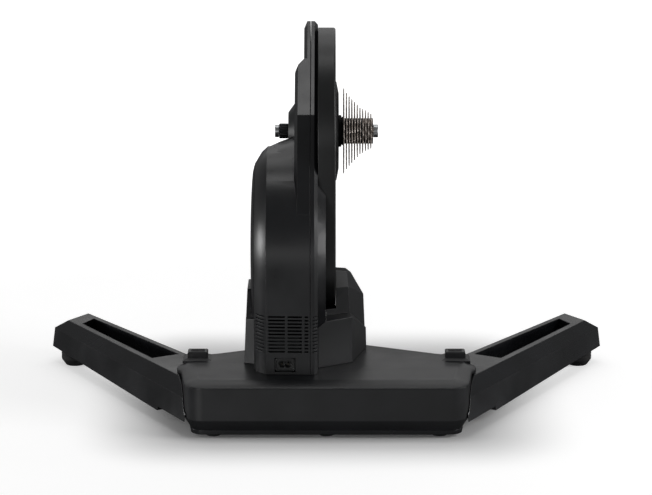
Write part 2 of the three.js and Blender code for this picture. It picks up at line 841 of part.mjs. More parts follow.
// The fairing's tray, which lies in the floor of both shells.
function trayBlock(margin) {
  return box(
    corner(drumLeftX - gap - wall - margin, trayRear - margin, margin ? bodyFloor - overrun : bodyFloor),
    corner(drumRightX + gap + wall + margin, trayFront + margin, bodyFloor + wall + margin),
  );
}

function inletBlock(margin, front, back) {
  return box(
    corner(inletX - inletWidth / 2 - margin, front, inletZ - inletHeight / 2 - margin),
    corner(inletX + inletWidth / 2 + margin, back, inletZ + inletHeight / 2 + margin),
  );
}

function ventSlots(columns, back, height) {
  const rear = hub.x - drumRadius - overrun;
  return Array.from({ length: ventRows }, (_, level) => {
    const middle = bodyFloor + ventRise - level * ventPitch;
    return columns.map(([left, right]) => box(
      corner(left, rear, middle - height / 2), corner(right, back, middle + height / 2),
    ));
  }).flat();
}

function addLeftHousing() {
  const panel = armPanel(armPanelRadius, armShoulder);
  const panelFace = armPanel(armPanelRadius - armPanelBevel, armShoulder - armShoulderBevel);
  const thick = row([
    [inset(panelFace, armChamferReach), armLeftX], [panelFace, armLeftX + armChamfer],
    [panel, armStepX], [panel, seamX - gap],
  ]);
  const thin = row([
    [inset(armOutline, armChamferReach), armStepX - gap], [armOutline, armStepX + armChamfer],
    [armOutline, seamX - gap],
  ]);
  const outer = join(leftDrum(0, 0, bodyFloor), flare(0), thick, thin);
  const hollows = [
    leftDrum(wall, overrun, bodyFloor + wall),
    row([
      [inset(panelFace, armChamferReach + wall / 2), armLeftX + wall],
      [inset(panelFace, wall), armLeftX + armChamfer + wall / 2],
      [inset(panel, wall), armStepX + wall], [inset(panel, wall), seamX + overrun],
    ]),
    slab(inset(armOutline, wall), armStepX + wall, seamX + overrun),
  ];
  const capHole = rod(drumAtLeft - drumCapRim, drumLeftX - overrun, drumLeftX + wall + overrun, hub, smooth);
  const axleHole = rod(boreClearance, drumLeftX, seamX, axle, small);
  const flatBack = hub.x - drumRadius + ventReach;
  const vents = ventSlots(ventColumns, flatBack, ventHeight);
  const chamferBack = flatBack + drumChamfer;
  const sideVents = ventSlots([ventChamferColumn], chamferBack, ventSideHeight);
  const inletHole = inletBlock(gap, hub.x - drumRadius - overrun, flatBack + wall);
  addPart('left_housing', cut(
    outer, ...hollows, castingOpening, trayBlock(gap), capHole, axleHole, ...vents, ...sideVents, inletHole,
  ), moulded);

  const rimX = drumLeftX - gap;
  const dome = drumCapShares.map(([depth, radius]) => [rimX - depth * drumCapDepth, radius * drumAtLeft]);
  const underside = drumCapShares.slice().reverse().map(([depth, radius]) => [
    rimX - Math.max(0, depth * drumCapDepth - wall), radius * (drumAtLeft - drumCapRim),
  ]);
  addPart('drum_cap', turned([...dome, ...underside], hub, smooth), moulded);

  const coverRight = armLeftX - gap;
  const cover = turned([
    [coverRight, hubCoverRootRadius], [hubCoverLeft, hubCoverTipRadius], [hubCoverLeft, boreClearance],
    [hubCoverLeft + wall, boreClearance], [hubCoverLeft + wall, hubCoverTipRadius - wall],
    [coverRight, hubCoverRootRadius - wall], [coverRight, hubCoverRootRadius],
  ], axle, round);
  addPart('left_hub_cover', cut(cover, leftDrum(-gap, overrun, bodyFloor), flare(gap)), moulded);
}

function addRightHousing() {
  const armHalf = row([
    [armOutline, seamX + gap], [armOutline, armRightX - armEdgeChamfer],
    [inset(armOutline, armEdgeChamfer), armRightX],
  ]);
  const pocket = slab(
    driveLoop(beltCoverRadius + gap, beltCoverFootRadius + gap), beltCoverLeft - gap, drumRightX + overrun,
  );
  const pocketWall = slab(
    driveLoop(beltCoverRadius + gap + wall, beltCoverFootRadius + gap + wall),
    beltCoverLeft - gap - wall, drumRightX + overrun,
  );
  const hollows = [
    cut(rightDrum(wall, overrun, bodyFloor + wall), pocketWall),
    slab(inset(armOutline, wall), seamX - overrun, armRightX - wall),
  ];
  const holes = [
    rod(shaftBossRadius + gap, seamX - overrun, drumRightX + overrun, hub, round),
    rod(axleBossRadius + gap, seamX - overrun, drumRightX + overrun, axle, round),
  ];
  const vents = ventSlots([ventRightColumn], hub.x - drumRadius + ventReach, ventSideHeight);
  addPart('right_housing', cut(
    join(rightDrum(0, 0, bodyFloor), armHalf), ...hollows, pocket, ...holes, castingOpening,
    trayBlock(gap), ...vents,
  ), moulded);
}

// The domed end cap as a solid, swelled by a margin.
function capRoom(margin) {
  const rim = drumLeftX + margin;
  const dome = drumCapShares.map(([depth, radius]) => [
    drumLeftX - gap - depth * drumCapDepth - margin, radius ? radius * drumAtLeft + margin : 0,
  ]);
  return turned([...dome, [rim, drumAtLeft + margin], [rim, 0]], hub, smooth);
}

// What the fairing has to leave room for, swelled by a margin.
function bodyRoom(margin) {
  const low = bodyFloor - overrun;
  return join(
    leftDrum(-margin, overrun, low),
    rightDrum(-margin, overrun, low),
    capRoom(margin),
    slab(driveLoop(beltCoverRadius + margin, beltCoverFootRadius + margin), seamX, beltCoverRight + margin),
    box(
      corner(seamX, pedestalRear - overrun * 2, bodyFloor + beltRecessRise - margin),
      corner(beltCoverRight + margin, hub.x, bodyFloor + pedestalHeight + overrun * 2),
    ),
  );
}

function addPedestal() {
  const rings = pedestalRingShares.map((ring) => ring.map(([across, along, up]) => corner(
    pedestalLeft + across * pedestalWidth,
    pedestalRear + along * pedestalDepth,
    bodyFloor + up * pedestalHeight,
  )));
  const flatten = ({ x, y }) => point(x, y);
  const innerRings = rings.map((ring, level) => {
    const drop = level ? wall : overrun;
    return inset(ring.map(flatten), wall).map(({ x, y }, spot) => corner(x, y, ring[spot].z - drop));
  });
  const aboveBlock = box(
    corner(pedestalLeft - overrun, pedestalRear, bodyFloor + pedestalBlockHeight),
    corner(drumLeftX, pedestalRear + pedestalDepth + overrun, bodyFloor + pedestalHeight + overrun),
  );
  const hollow = cut(loft(innerRings, flatten), bodyRoom(gap + wall), box(
    corner(pedestalLeft, pedestalRear, bodyFloor + pedestalBlockHeight - wall),
    corner(drumLeftX, pedestalRear + pedestalDepth, bodyFloor + pedestalHeight),
  ));
  const skin = cut(loft(rings, flatten), bodyRoom(gap), aboveBlock, hollow);
  addPart('pedestal_shell', cut(join(skin, trayBlock(0)), castingOpening), moulded);
}

// Belt drive

// The running face of a pulley, between its two raised edges.
const beltSeat = (radius) => [
  [pulleyLeft, radius + pulleyEdge], [pulleyLeft + pulleyEdge, radius],
  [pulleyRight - pulleyEdge, radius], [pulleyRight, radius + pulleyEdge],
];

function addBeltDrive() {
  const coverLoop = driveLoop(beltCoverRadius, beltCoverFootRadius);
  const cover = row([
    [coverLoop, beltCoverLeft], [coverLoop, beltCoverRight - beltCoverBevel],
    [inset(coverLoop, beltCoverBevel), beltCoverRight],
  ]);
  const coverRoom = slab(
    driveLoop(beltCoverRadius - wall, beltCoverFootRadius - wall), beltCoverLeft - overrun, coverFloor,
  );
  const hubHole = rod(hubRadius + hubHoleClearance, beltCoverLeft, beltCoverRight + overrun, axle, round);
  addPart('belt_cover', cut(cover, coverRoom, hubHole), moulded);

  const panRight = beltCoverLeft + beltPanThickness;
  const panLoop = driveLoop(beltCoverRadius - wall - gap, beltCoverFootRadius - wall - gap);
  const panHoles = [axle, hub].map((place) => (
    rod(boreClearance + hubHoleClearance, beltCoverLeft - overrun, panRight + overrun, place, small)
  ));
  addPart('belt_pan', cut(slab(panLoop, beltCoverLeft, panRight), ...panHoles), moulded);

  const guardLeft = beltCoverRight + gap;
  const guardHole = hubRadius + hubHoleClearance;
  addPart('guard_disc', turned([
    [guardLeft, guardHole], [guardLeft, guardRadius], [guardLeft + guardHeight / 4, guardRadius],
    [guardLeft + guardHeight, guardTopRadius], [guardLeft + guardHeight, guardHole], [guardLeft, guardHole],
  ], axle, smooth), moulded);

  const webMiddle = (pulleyLeft + pulleyRight) / 2;
  const webLeft = webMiddle - pulleyWebThickness / 2;
  const webRight = webMiddle + pulleyWebThickness / 2;
  const rimInner = pulleyRadius - pulleyRimDepth;
  const hubBore = bearingRadius + gap;
  const rim = turned([
    ...beltSeat(pulleyRadius),
    [pulleyRight, rimInner], [webRight, rimInner], [webRight, hubRadius], [hubEnd, hubRadius],
    [hubEnd, hubBore], [pulleyLeft, hubBore], [pulleyLeft, hubRadius], [webLeft, hubRadius],
    [webLeft, rimInner], [pulleyLeft, rimInner], [pulleyLeft, pulleyRadius + pulleyEdge],
  ], axle, round);
  const windows = Array.from({ length: pulleyWindows }, (_, spot) => {
    const place = around(axle, pulleyWindowReach, (Math.PI * 2 * spot) / pulleyWindows);
    return rod(pulleyWindowRadius, pulleyLeft, pulleyRight, place, small);
  });
  addPart('drive_pulley', cut(rim, ...windows), aluminium);

  const bore = shaftRadius + gap;
  addPart('small_pulley', turned([
    ...beltSeat(smallPulleyRadius),
    [pulleyRight, bore], [pulleyLeft, bore], [pulleyLeft, smallPulleyRadius + pulleyEdge],
  ], hub, round), steel);

  const [wrapTop, wrapFoot] = [pulleyRadius, smallPulleyRadius].map((radius) => radius + gap);
  const beltInner = driveLoop(wrapTop, wrapFoot, smooth);
  const beltOuter = driveLoop(wrapTop + beltThickness, wrapFoot + beltThickness, smooth);
  addPart('drive_belt', slab(beltOuter, beltLeft, beltRight, [beltInner]), rubber);

  [['inner', pulleyLeft], ['outer', hubEnd - bearingWidth]].forEach(([name, left]) => {
    const bearing = ring(boreClearance, bearingRadius, left, left + bearingWidth, axle, round);
    addPart(`hub_bearing_${name}`, bearing, steel);
  });
}

function addIdler() {
  const lean = Math.acos((smallPulleyRadius - pulleyRadius) / driveReach);
  const outward = point(Math.cos(driveAngle + lean), Math.sin(driveAngle + lean));
  const foot = hub.clone().addScaledVector(outward, smallPulleyRadius);
  const run = axle.clone().addScaledVector(outward, pulleyRadius).sub(foot);
  const centre = foot.clone().addScaledVector(run, idlerShare)
    .addScaledVector(outward, gap * 2 + beltThickness + idlerRadius);
  const pivot = centre.clone().addScaledVector(run.clone().normalize(), -idlerArmLength);
  const armLeft = beltCoverLeft + beltPanThickness + gap;
  const armRight = armLeft + idlerArmThickness;
  const heading = centre.clone().sub(pivot).angle();
  const halfTurn = Math.PI / 2;
  const bar = slab([
    ...arc(centre, idlerArmWidth / 2, heading - halfTurn, heading + halfTurn, tiny),
    ...arc(pivot, idlerArmWidth / 2, heading + halfTurn, heading - halfTurn + Math.PI * 2, tiny),
  ], armLeft, armRight);
  const pin = rod(idlerPinRadius, armRight - gap, pulleyRight, centre, small);
  addPart('idler_arm', join(bar, pin), steel);
  addPart('idler_roller', ring(
    idlerPinRadius + gap, idlerRadius, armRight + gap, pulleyRight - gap, centre, round,
  ), blackSteel);
}

// Axle and cassette

function addAxle() {
  addPart('axle_tube', ring(axleBoreRadius, axleRadius, axleTubeLeft, axleTubeRight, axle, round), steel);
  addPart('left_axle_tip', ring(
    axleBoreRadius, leftTipRadius, axleLeft, axleLeft + axleTipLength, axle, round,
  ), aluminium);
  addPart('right_axle_tip', ring(
    axleBoreRadius, rightTipRadius, axleRight - rightTipLength, axleRight, axle, round,
  ), aluminium);

  const flutes = Array.from({ length: leftCollarFlutes * 2 }, (_, spot) => {
    const radius = leftCollarRadius - (spot % 2) * leftCollarFluteDepth;
    return around(axle, radius, (Math.PI * spot) / leftCollarFlutes);
  });
  const bore = circle(axle, boreClearance, small);
  addPart('left_axle_collar', slab(flutes, leftCollarLeft, hubCoverLeft - gap, [bore]), blackSteel);
}

function sprocketOutline(teeth) {
  const pitchRadius = chainPitch / (2 * Math.sin(Math.PI / teeth));
  const rootRadius = pitchRadius - chainRollerRadius;
  const tipRadius = pitchRadius + toothHeight;
  const toothAngle = (Math.PI * 2) / teeth;
  const spots = [[-toothRootShare, rootRadius], [-toothTipShare, tipRadius], [toothTipShare, tipRadius]];
  return Array.from({ length: teeth }, (_, tooth) => (
    spots.map(([share, radius]) => around(axle, radius, (tooth + share) * toothAngle))
  )).flat();
}

function addCassette() {
  const bore = freehubRadius + gap;
  sprocketTeeth.forEach((teeth, spot) => {
    const left = cassetteLeft + spot * sprocketPitch;
    const hole = circle(axle, bore, small);
    const disc = slab(sprocketOutline(teeth), left, left + sprocketThickness, [hole]);
    const rootRadius = chainPitch / (2 * Math.sin(Math.PI / teeth)) - chainRollerRadius;
    const spacerOuter = Math.min(spacerRadius, rootRadius - spacerStep);
    const isLast = spot === sprocketTeeth.length - 1;
    const collar = ring(bore, spacerOuter, left, left + sprocketPitch - gap, axle, small);
    addPart(`sprocket_${teeth}`, isLast ? disc : join(disc, collar), sprocketSteel);
  });

  const freehubLeft = hubEnd + gap;
  addPart('freehub_body', turned([
    [freehubLeft, boreClearance], [freehubLeft, freehubFlangeRadius],
    [freehubLeft + freehubFlange, freehubFlangeRadius], [freehubLeft + freehubFlange, freehubRadius],
    [lockringLeft - gap, freehubRadius], [lockringLeft - gap, boreClearance], [freehubLeft, boreClearance],
  ], axle, small), blackSteel);
  addPart('cassette_lockring', ring(
    boreClearance, lockringRadius, lockringLeft, lockringLeft + lockringThickness, axle, round,
  ), sprocketSteel);
}

// Flywheel and brake

function addFlywheel() {
  const bore = shaftRadius + gap;
  addPart('flywheel_shaft', rod(shaftRadius, shaftLeft, pulleyRight, hub, round), steel);

  const rimInner = flywheelRadius - flywheelRim;
  const middle = (flywheelLeft + flywheelRight) / 2;
  const webLeft = middle - flywheelWeb / 2;
  const webRight = middle + flywheelWeb / 2;
  const hubLeft = flywheelLeft - flywheelHubReach;
  const hubRight = shaftBossLeft - gap * 2;
  addPart('flywheel', turned([
    [hubLeft, bore], [hubLeft, flywheelHubRadius], [webLeft, flywheelHubRadius], [webLeft, rimInner],
    [flywheelLeft, rimInner], [flywheelLeft, flywheelRadius], [flywheelRight, flywheelRadius],
    [flywheelRight, rimInner], [webRight, rimInner], [webRight, flywheelHubRadius],
    [hubRight, flywheelHubRadius], [hubRight, bore], [hubLeft, bore],
  ], hub, round), steel);

  const seats = [['left', shaftBossLeft + gap], ['right', bossRight - bearingWidth - gap]];
  seats.forEach(([name, left]) => {
    const bearing = ring(bore, bearingRadius, left, left + bearingWidth, hub, round);
    addPart(`flywheel_bearing_${name}`, bearing, steel);
  });
}

function addBrake() {
  // The pieces are laid out along X, outward from the flywheel's centre and across both.
  const outward = corner(0, Math.cos(driveAngle), Math.sin(driveAngle));
  const along = corner(1, 0, 0);
  const layout = new THREE.Matrix4().makeBasis(along, outward, along.clone().cross(outward));
  layout.setPosition(0, hub.x, hub.y);
  const tip = flywheelRadius - yokeReach;
  const leftFace = flywheelLeft - yokeClearance;
  const rightFace = flywheelRight + yokeClearance;
  const yoke = prism([
    point(leftFace - yokeThickness, tip), point(leftFace, tip), point(leftFace, yokeWebInner),
    point(rightFace, yokeWebInner), point(rightFace, tip), point(rightFace + yokeThickness, tip),
    point(rightFace + yokeThickness, yokeWebInner), point(castingLeft - gap, yokeWebInner),
    point(castingLeft - gap, yokeWebOuter), point(leftFace - yokeThickness, yokeWebOuter),
  ], -yokeWidth / 2, yokeWidth / 2);
  addPart('brake_yoke', yoke.applyMatrix4(layout), blackSteel);

  const middle = (flywheelLeft + flywheelRight) / 2;
  const block = (margin, length) => box(
    corner(middle - length / 2, yokeWebInner - margin, -yokeWidth / 2 - margin),
    corner(middle + length / 2, yokeWebOuter + margin, yokeWidth / 2 + margin),
  );
  const coil = cut(
    block(gap + coilThickness, coilWidth).applyMatrix4(layout),
    block(gap, coilWidth + overrun).applyMatrix4(layout),
  );
  addPart('brake_coil', coil, copper);
}

// Casting

function addCasting() {
  const plate = slab(driveLoop(castingAxleRadius, castingShaftRadius), castingLeft, castingRight);
  const kneeZ = castingFootZ + castingFootRise;
  const foot = slab([
    point(castingFootRear, castingFootZ), point(castingFootFront, castingFootZ),
    point(castingFootFront, kneeZ), point(hub.x + castingShaftRadius, hub.y),
    point(hub.x - castingShaftRadius, hub.y), point(castingFootRear, kneeZ),
  ], castingLeft, castingRight);
  const bosses = [
    rod(shaftBossRadius, shaftBossLeft, bossRight, hub, round),
    rod(axleBossRadius, armLeftX + wall + gap, bossRight, axle, round),
  ];
  const windowPlace = hub.clone().lerp(axle, castingWindowShare);
  const tools = [
    rod(bearingRadius + gap, shaftBossLeft - overrun, bossRight + overrun, hub, round),
    rod(boreClearance, armLeftX, bossRight + overrun, axle, small),
    rod(castingWindowRadius, castingLeft - overrun, castingRight + overrun, windowPlace, small),
  ];
  addPart('spine_casting', cut(join(plate, foot, ...bosses), ...tools), castBlack);
}

// Mains inlet and control board

function addInlet() {
  const front = hub.x - drumRadiusAt(inletX) + inletRecess;
  const back = front + inletDepth;
  const across = [['left', -inletLobeReach], ['right', inletLobeReach]];
  const bar = (radius, from, to, place, segments) => (
    new THREE.CylinderGeometry(radius, radius, to - from, segments).translate(place, (from + to) / 2, inletZ)
  );
  const lobes = across.map(([, reach]) => (
    bar(inletLobeRadius, front - overrun, front + inletSocketDepth, inletX + reach, small)
  ));
  addPart('power_inlet', cut(inletBlock(0, front, back), ...lobes), moulded);

  const pinBack = front + inletSocketDepth - gap;
  across.forEach(([name, reach]) => {
    const pin = bar(inletPinRadius, pinBack - inletPinLength, pinBack, inletX + reach, tiny);
    addPart(`inlet_pin_${name}`, pin, steel);
  });

  const boardBottom = bodyFloor + wall + gap;
  const boardRight = castingLeft - gap;
  addPart('control_board', box(
    corner(boardRight - boardWidth, back + gap, boardBottom),
    corner(boardRight, back + gap + boardThickness, boardBottom + boardHeight),
  ), boardBlack);
}

addBase();
sides.forEach(([name, side]) => {
  addLatch(name, side);
  addLeg(name, side);
});
addLeftHousing();
addRightHousing();
addPedestal();
addCasting();
addBeltDrive();
addIdler();
addAxle();
addCassette();
addFlywheel();
addBrake();
addInlet();

// The origin lies on the floor at the middle of the whole trainer.
const extent = new THREE.Box3().setFromObject(trainer);
const middle = extent.getCenter(new THREE.Vector3());
trainer.position.set(-middle.x, -middle.y, -extent.min.z);
trainer.updateMatrixWorld(true);

export default trainer;
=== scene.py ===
import math

import bmesh
import bpy
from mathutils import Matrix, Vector


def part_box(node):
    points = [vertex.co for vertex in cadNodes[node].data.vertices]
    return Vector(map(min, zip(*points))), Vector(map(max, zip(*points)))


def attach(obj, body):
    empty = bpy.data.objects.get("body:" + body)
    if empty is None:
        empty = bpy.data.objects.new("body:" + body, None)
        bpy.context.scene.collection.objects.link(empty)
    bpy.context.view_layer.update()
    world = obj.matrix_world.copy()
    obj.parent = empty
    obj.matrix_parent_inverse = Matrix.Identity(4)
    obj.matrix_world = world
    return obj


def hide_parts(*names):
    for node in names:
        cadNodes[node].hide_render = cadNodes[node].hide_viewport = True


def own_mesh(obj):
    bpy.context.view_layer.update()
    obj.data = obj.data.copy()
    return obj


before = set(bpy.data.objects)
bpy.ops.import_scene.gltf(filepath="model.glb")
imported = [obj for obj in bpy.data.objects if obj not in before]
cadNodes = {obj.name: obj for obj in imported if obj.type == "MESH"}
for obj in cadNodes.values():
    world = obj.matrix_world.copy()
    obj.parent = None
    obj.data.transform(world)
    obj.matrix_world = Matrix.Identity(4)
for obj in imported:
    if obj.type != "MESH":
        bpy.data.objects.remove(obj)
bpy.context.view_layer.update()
print("frame loaded:", len(cadNodes), "nodes")

# Lengths are in millimetres and angles in degrees, in the frame's own axes; the studio is in metres.
mm = 0.001
axle = (13.769, 371.5)   # Y and Z of the axle
drum = (-40.231, 219.1)  # Y and Z of the flywheel's axis inside the drum


# Colours and nodes

def linear(hexColour):
    channels = [((hexColour >> shift) & 255) / 255 for shift in (16, 8, 0)]
    return tuple(c / 12.92 if c <= 0.04045 else ((c + 0.055) / 1.055) ** 2.4 for c in channels) + (1.0,)


def addNode(tree, kind, settings=None, links=None):
    node = tree.nodes.new(kind)
    for key, value in (settings or {}).items():
        if isinstance(key, int) or key in node.inputs:
            node.inputs[key].default_value = value
        else:
            setattr(node, key, value)
    for key, source in (links or {}).items():
        tree.links.new(source, node.inputs[key])
    return node


def newMaterial(name, finish):
    material = bpy.data.materials.new(name)
    material.use_nodes = True
    tree = material.node_tree
    shader = tree.nodes["Principled BSDF"]
    shader.inputs["Base Color"].default_value = linear(finish["colour"])
    shader.inputs["Roughness"].default_value = finish["roughness"]
    shader.inputs["Metallic"].default_value = finish.get("metallic", 0)
    if "ior" in finish:
        shader.inputs["IOR"].default_value = finish["ior"]
    return material, tree, shader


def grain(tree, size, detail, stretch=None):
    # noise whose patches are about size millimetres across
    where = addNode(tree, "ShaderNodeTexCoord").outputs["Object"]
    if stretch:
        where = addNode(tree, "ShaderNodeVectorMath", {"operation": "MULTIPLY", 1: stretch},
                        {0: where}).outputs[0]
    return addNode(tree, "ShaderNodeTexNoise", {"Scale": 1 / (size * mm), "Detail": detail},
                   {"Vector": where}).outputs["Fac"]


def latheRings(tree, centre, pitch):
    # the fine rings that a lathe leaves round an axis along X
    where = addNode(tree, "ShaderNodeTexCoord").outputs["Object"]
    moved = addNode(tree, "ShaderNodeVectorMath", {
        "operation": "SUBTRACT", 1: (0, centre[0] * mm, centre[1] * mm)}, {0: where}).outputs[0]
    flat = addNode(tree, "ShaderNodeVectorMath", {"operation": "MULTIPLY", 1: (0, 1, 1)},
                   {0: moved}).outputs[0]
    distance = addNode(tree, "ShaderNodeVectorMath", {"operation": "LENGTH"}, {0: flat}).outputs["Value"]
    return addNode(tree, "ShaderNodeTexNoise", {
        "noise_dimensions": "1D", "Scale": 1 / (pitch * mm), "Detail": 1.0}, {"W": distance}).outputs["Fac"]


def shaded(tree, shader, source, finish, start=0.35, end=0.65):
    # the finish's colour turns into its paler one where the pattern is high
    fade = addNode(tree, "ShaderNodeMapRange", {"From Min": start, "From Max": end}, {"Value": source})
    mix = addNode(tree, "ShaderNodeMix", {"data_type": "RGBA"}, {"Factor": fade.outputs["Result"]})
    colours = [socket for socket in mix.inputs if socket.type == "RGBA"]
    colours[0].default_value = linear(finish["colour"])
    colours[1].default_value = linear(finish["paler"])
    blend = [socket for socket in mix.outputs if socket.type == "RGBA"][0]
    tree.links.new(blend, shader.inputs["Base Color"])


def roughened(tree, shader, source, finish, start=0.3, end=0.7):
    # smoother and rougher than the finish's own value, by the two steps of its spread
    smoother, rougher = finish["spread"]
    rough = addNode(tree, "ShaderNodeMapRange", {
        "From Min": start, "From Max": end,
        "To Min": finish["roughness"] - smoother, "To Max": finish["roughness"] + rougher,
    }, {"Value": source}).outputs["Result"]
    tree.links.new(rough, shader.inputs["Roughness"])
    return rough


def relief(tree, shader, source, finish):
    # the pattern's depth, and the radius that is left on every corner
    bump = addNode(tree, "ShaderNodeBump", {"Strength": finish["bump"], "Distance": finish["depth"] * mm},
                   {"Height": source})
    if "corner" in finish:
        rounding = addNode(tree, "ShaderNodeBevel", {"samples": 6, "Radius": finish["corner"] * mm})
        tree.links.new(rounding.outputs["Normal"], bump.inputs["Normal"])
    tree.links.new(bump.outputs["Normal"], shader.inputs["Normal"])


# Materials

# Nylon with glass fibre, moulded in a spark-eroded tool: a satin black whose fine even grain breaks up
# reflections. The housing's two shells come from a smoother tool.
nylonGrain = {"colour": 0x111214, "paler": 0x16171a, "roughness": 0.34, "spread": (0.05, 0.07), "ior": 1.53,
              "patchSize": 55, "grainSize": 1.1, "fineShare": 0.35, "depth": 0.05, "bump": 0.35,
              "corner": 0.9}
housingGrain = {**nylonGrain, "roughness": 0.32, "depth": 0.035}
# The arm's sloped rear face is polished finer than the rest, so that it shines in the light from above. It is
# found by its height and by the way that it faces.
fineArm = {"start": 406, "end": 412, "smoother": 0.11, "facing": (0, -0.61, 0.79), "least": 0.96,
           "full": 0.985}


def glassFilledNylonMoulded(name, finish, fineAbove=None):
    material, tree, shader = newMaterial(name, finish)
    patches = grain(tree, finish["patchSize"], 3)
    shaded(tree, shader, patches, finish)
    # the texture is about 0.1 mm on the real part and is drawn some ten times coarser so that it shows
    fine = grain(tree, finish["grainSize"], 3)
    both = addNode(tree, "ShaderNodeMath", {"operation": "MULTIPLY_ADD", 1: finish["fineShare"]},
                   {0: fine, 2: patches}).outputs[0]
    rough = roughened(tree, shader, both, finish, 0.45, 0.95)
    if fineAbove:
        where = addNode(tree, "ShaderNodeTexCoord")
        height = addNode(tree, "ShaderNodeSeparateXYZ", None, {0: where.outputs["Object"]}).outputs["Z"]
        high = addNode(tree, "ShaderNodeMapRange", {
            "From Min": fineAbove["start"] * mm, "From Max": fineAbove["end"] * mm,
            "To Max": fineAbove["smoother"]}, {"Value": height}).outputs["Result"]
        along = addNode(tree, "ShaderNodeVectorMath", {"operation": "DOT_PRODUCT", 1: fineAbove["facing"]},
                        {0: where.outputs["Normal"]}).outputs["Value"]
        facing = addNode(tree, "ShaderNodeMapRange", {
            "From Min": fineAbove["least"], "From Max": fineAbove["full"],
        }, {"Value": along}).outputs["Result"]
        less = addNode(tree, "ShaderNodeMath", {"operation": "MULTIPLY"}, {0: high, 1: facing}).outputs[0]
        finer = addNode(tree, "ShaderNodeMath", {"operation": "SUBTRACT"}, {0: rough, 1: less}).outputs[0]
        tree.links.new(finer, shader.inputs["Roughness"])
    relief(tree, shader, fine, finish)
    return material


# ABS from a polished tool: the belt cover and trims, with long shallow waves and hardly any grain.
absPolish = {"colour": 0x101112, "paler": 0x141516, "roughness": 0.36, "spread": (0.03, 0.08), "ior": 1.54,
             "waveSize": 26, "dustSize": 1.6, "depth": 0.05, "bump": 0.25, "corner": 0.8}


def absPolishedMoulded():
    material, tree, shader = newMaterial("absPolishedMoulded", absPolish)
    flow = grain(tree, absPolish["waveSize"], 2)
    shaded(tree, shader, flow, absPolish)
    roughened(tree, shader, grain(tree, absPolish["dustSize"], 4), absPolish)
    relief(tree, shader, flow, absPolish)
    return material


# Die-cast aluminium under black powder coat: half gloss, with the faint orange peel of the baked powder.
powderCoat = {"colour": 0x121315, "paler": 0x17181b, "roughness": 0.24, "spread": (0.05, 0.06), "ior": 1.5,
              "cloudSize": 70, "peelSize": 1.8, "depth": 0.08, "bump": 0.4, "corner": 1.2}


def powderCoatedCast():
    material, tree, shader = newMaterial("powderCoatedCast", powderCoat)
    peel = grain(tree, powderCoat["peelSize"], 1.5)
    cloud = grain(tree, powderCoat["cloudSize"], 2)
    shaded(tree, shader, cloud, powderCoat)
    roughened(tree, shader, cloud, powderCoat)
    relief(tree, shader, peel, powderCoat)
    return material


# Nitrile rubber, press moulded: dull, and scuffed paler in small patches.
nitrile = {"colour": 0x0d0d0e, "paler": 0x1d1d1e, "roughness": 0.8, "spread": (0.08, 0.1), "ior": 1.52,
           "scuffSize": 9, "poreSize": 0.9, "depth": 0.12, "bump": 0.6, "corner": 0.6}


def nitrileRubberMoulded():
    material, tree, shader = newMaterial("nitrileRubberMoulded", nitrile)
    pores = grain(tree, nitrile["poreSize"], 4)
    shaded(tree, shader, grain(tree, nitrile["scuffSize"], 3), nitrile)
    roughened(tree, shader, pores, nitrile)
    relief(tree, shader, pores, nitrile)
    return material


# What the metal finishes share: stains from handling, and edges that are only just broken
turning = {"stainSize": 12, "ringShare": 0.5, "spread": (0.07, 0.12), "bump": 0.5, "corner": 0.25}
# Steel turned on a lathe: fine rings about the axis that draw the light into a bright band.
turnedSteel = {**turning, "colour": 0x9a9c9f, "paler": 0xb4b6b8, "roughness": 0.28, "metallic": 1,
               "ringPitch": 0.5, "depth": 0.02}
# Aluminium turned and clear anodised: paler and a touch softer than the steel.
anodised = {**turning, "colour": 0xb4b6b8, "paler": 0xc9cbcc, "roughness": 0.34, "metallic": 1,
            "ringPitch": 0.6, "depth": 0.015}
# Steel under black oxide: nearly black, with the turning still seen through it.
blackOxide = {**turning, "colour": 0x1b1b1d, "paler": 0x29292b, "roughness": 0.36, "metallic": 0.7,
              "ringPitch": 0.8, "depth": 0.02}
# Aluminium turned and black anodised: matt black, the dye hides the metal almost fully.
blackAnodised = {**turning, "colour": 0x0b0b0c, "paler": 0x121213, "roughness": 0.5, "metallic": 0.2,
                 "ringPitch": 0.8, "depth": 0.02}
# Stamped steel under dark nickel: brownish grey and shiny, with faint rings about the axle.
darkNickel = {**turning, "colour": 0x5a524d, "paler": 0x857b73, "roughness": 0.27, "metallic": 1,
              "ringPitch": 1.1, "depth": 0.03}
# The same steel on the teeth's edges, paler and rougher: partly nickel rubbed dull by the chain, partly
# a painted highlight that stands in for the glints along the edges.
wornNickelAndGlint = {**turning, "colour": 0xbdb3ab, "paler": 0xe3dad3, "roughness": 0.4, "metallic": 0.65,
              "ringPitch": 1.1, "depth": 0.02}
# Brass pins under nickel, drawn yellowish grey and much darker than the plated metal: painted shade
# for their place deep in the socket.
pinInPaintedShade = {**turning, "colour": 0x38352f, "paler": 0x4c4841, "roughness": 0.45, "metallic": 1,
             "ringPitch": 0.5, "depth": 0.01}


def turnedMetal(name, finish, centre):
    material, tree, shader = newMaterial(name, finish)
    rings = latheRings(tree, centre, finish["ringPitch"])
    stain = grain(tree, finish["stainSize"], 3)
    shaded(tree, shader, stain, finish, 0.3, 0.75)
    both = addNode(tree, "ShaderNodeMath", {"operation": "MULTIPLY_ADD", 1: finish["ringShare"]},
                   {0: rings, 2: stain}).outputs[0]
    roughened(tree, shader, both, finish, 0.5, 1.0)
    relief(tree, shader, rings, finish)
    return material


# Enamelled copper wire, wound: warm metal under a clear lacquer, one thin ridge per turn.
windings = {"colour": 0xa4552c, "paler": 0xc4744a, "roughness": 0.3, "metallic": 1, "coat": 0.6,
            "wire": 0.9, "uneven": 0.4, "depth": 0.3, "bump": 0.8}


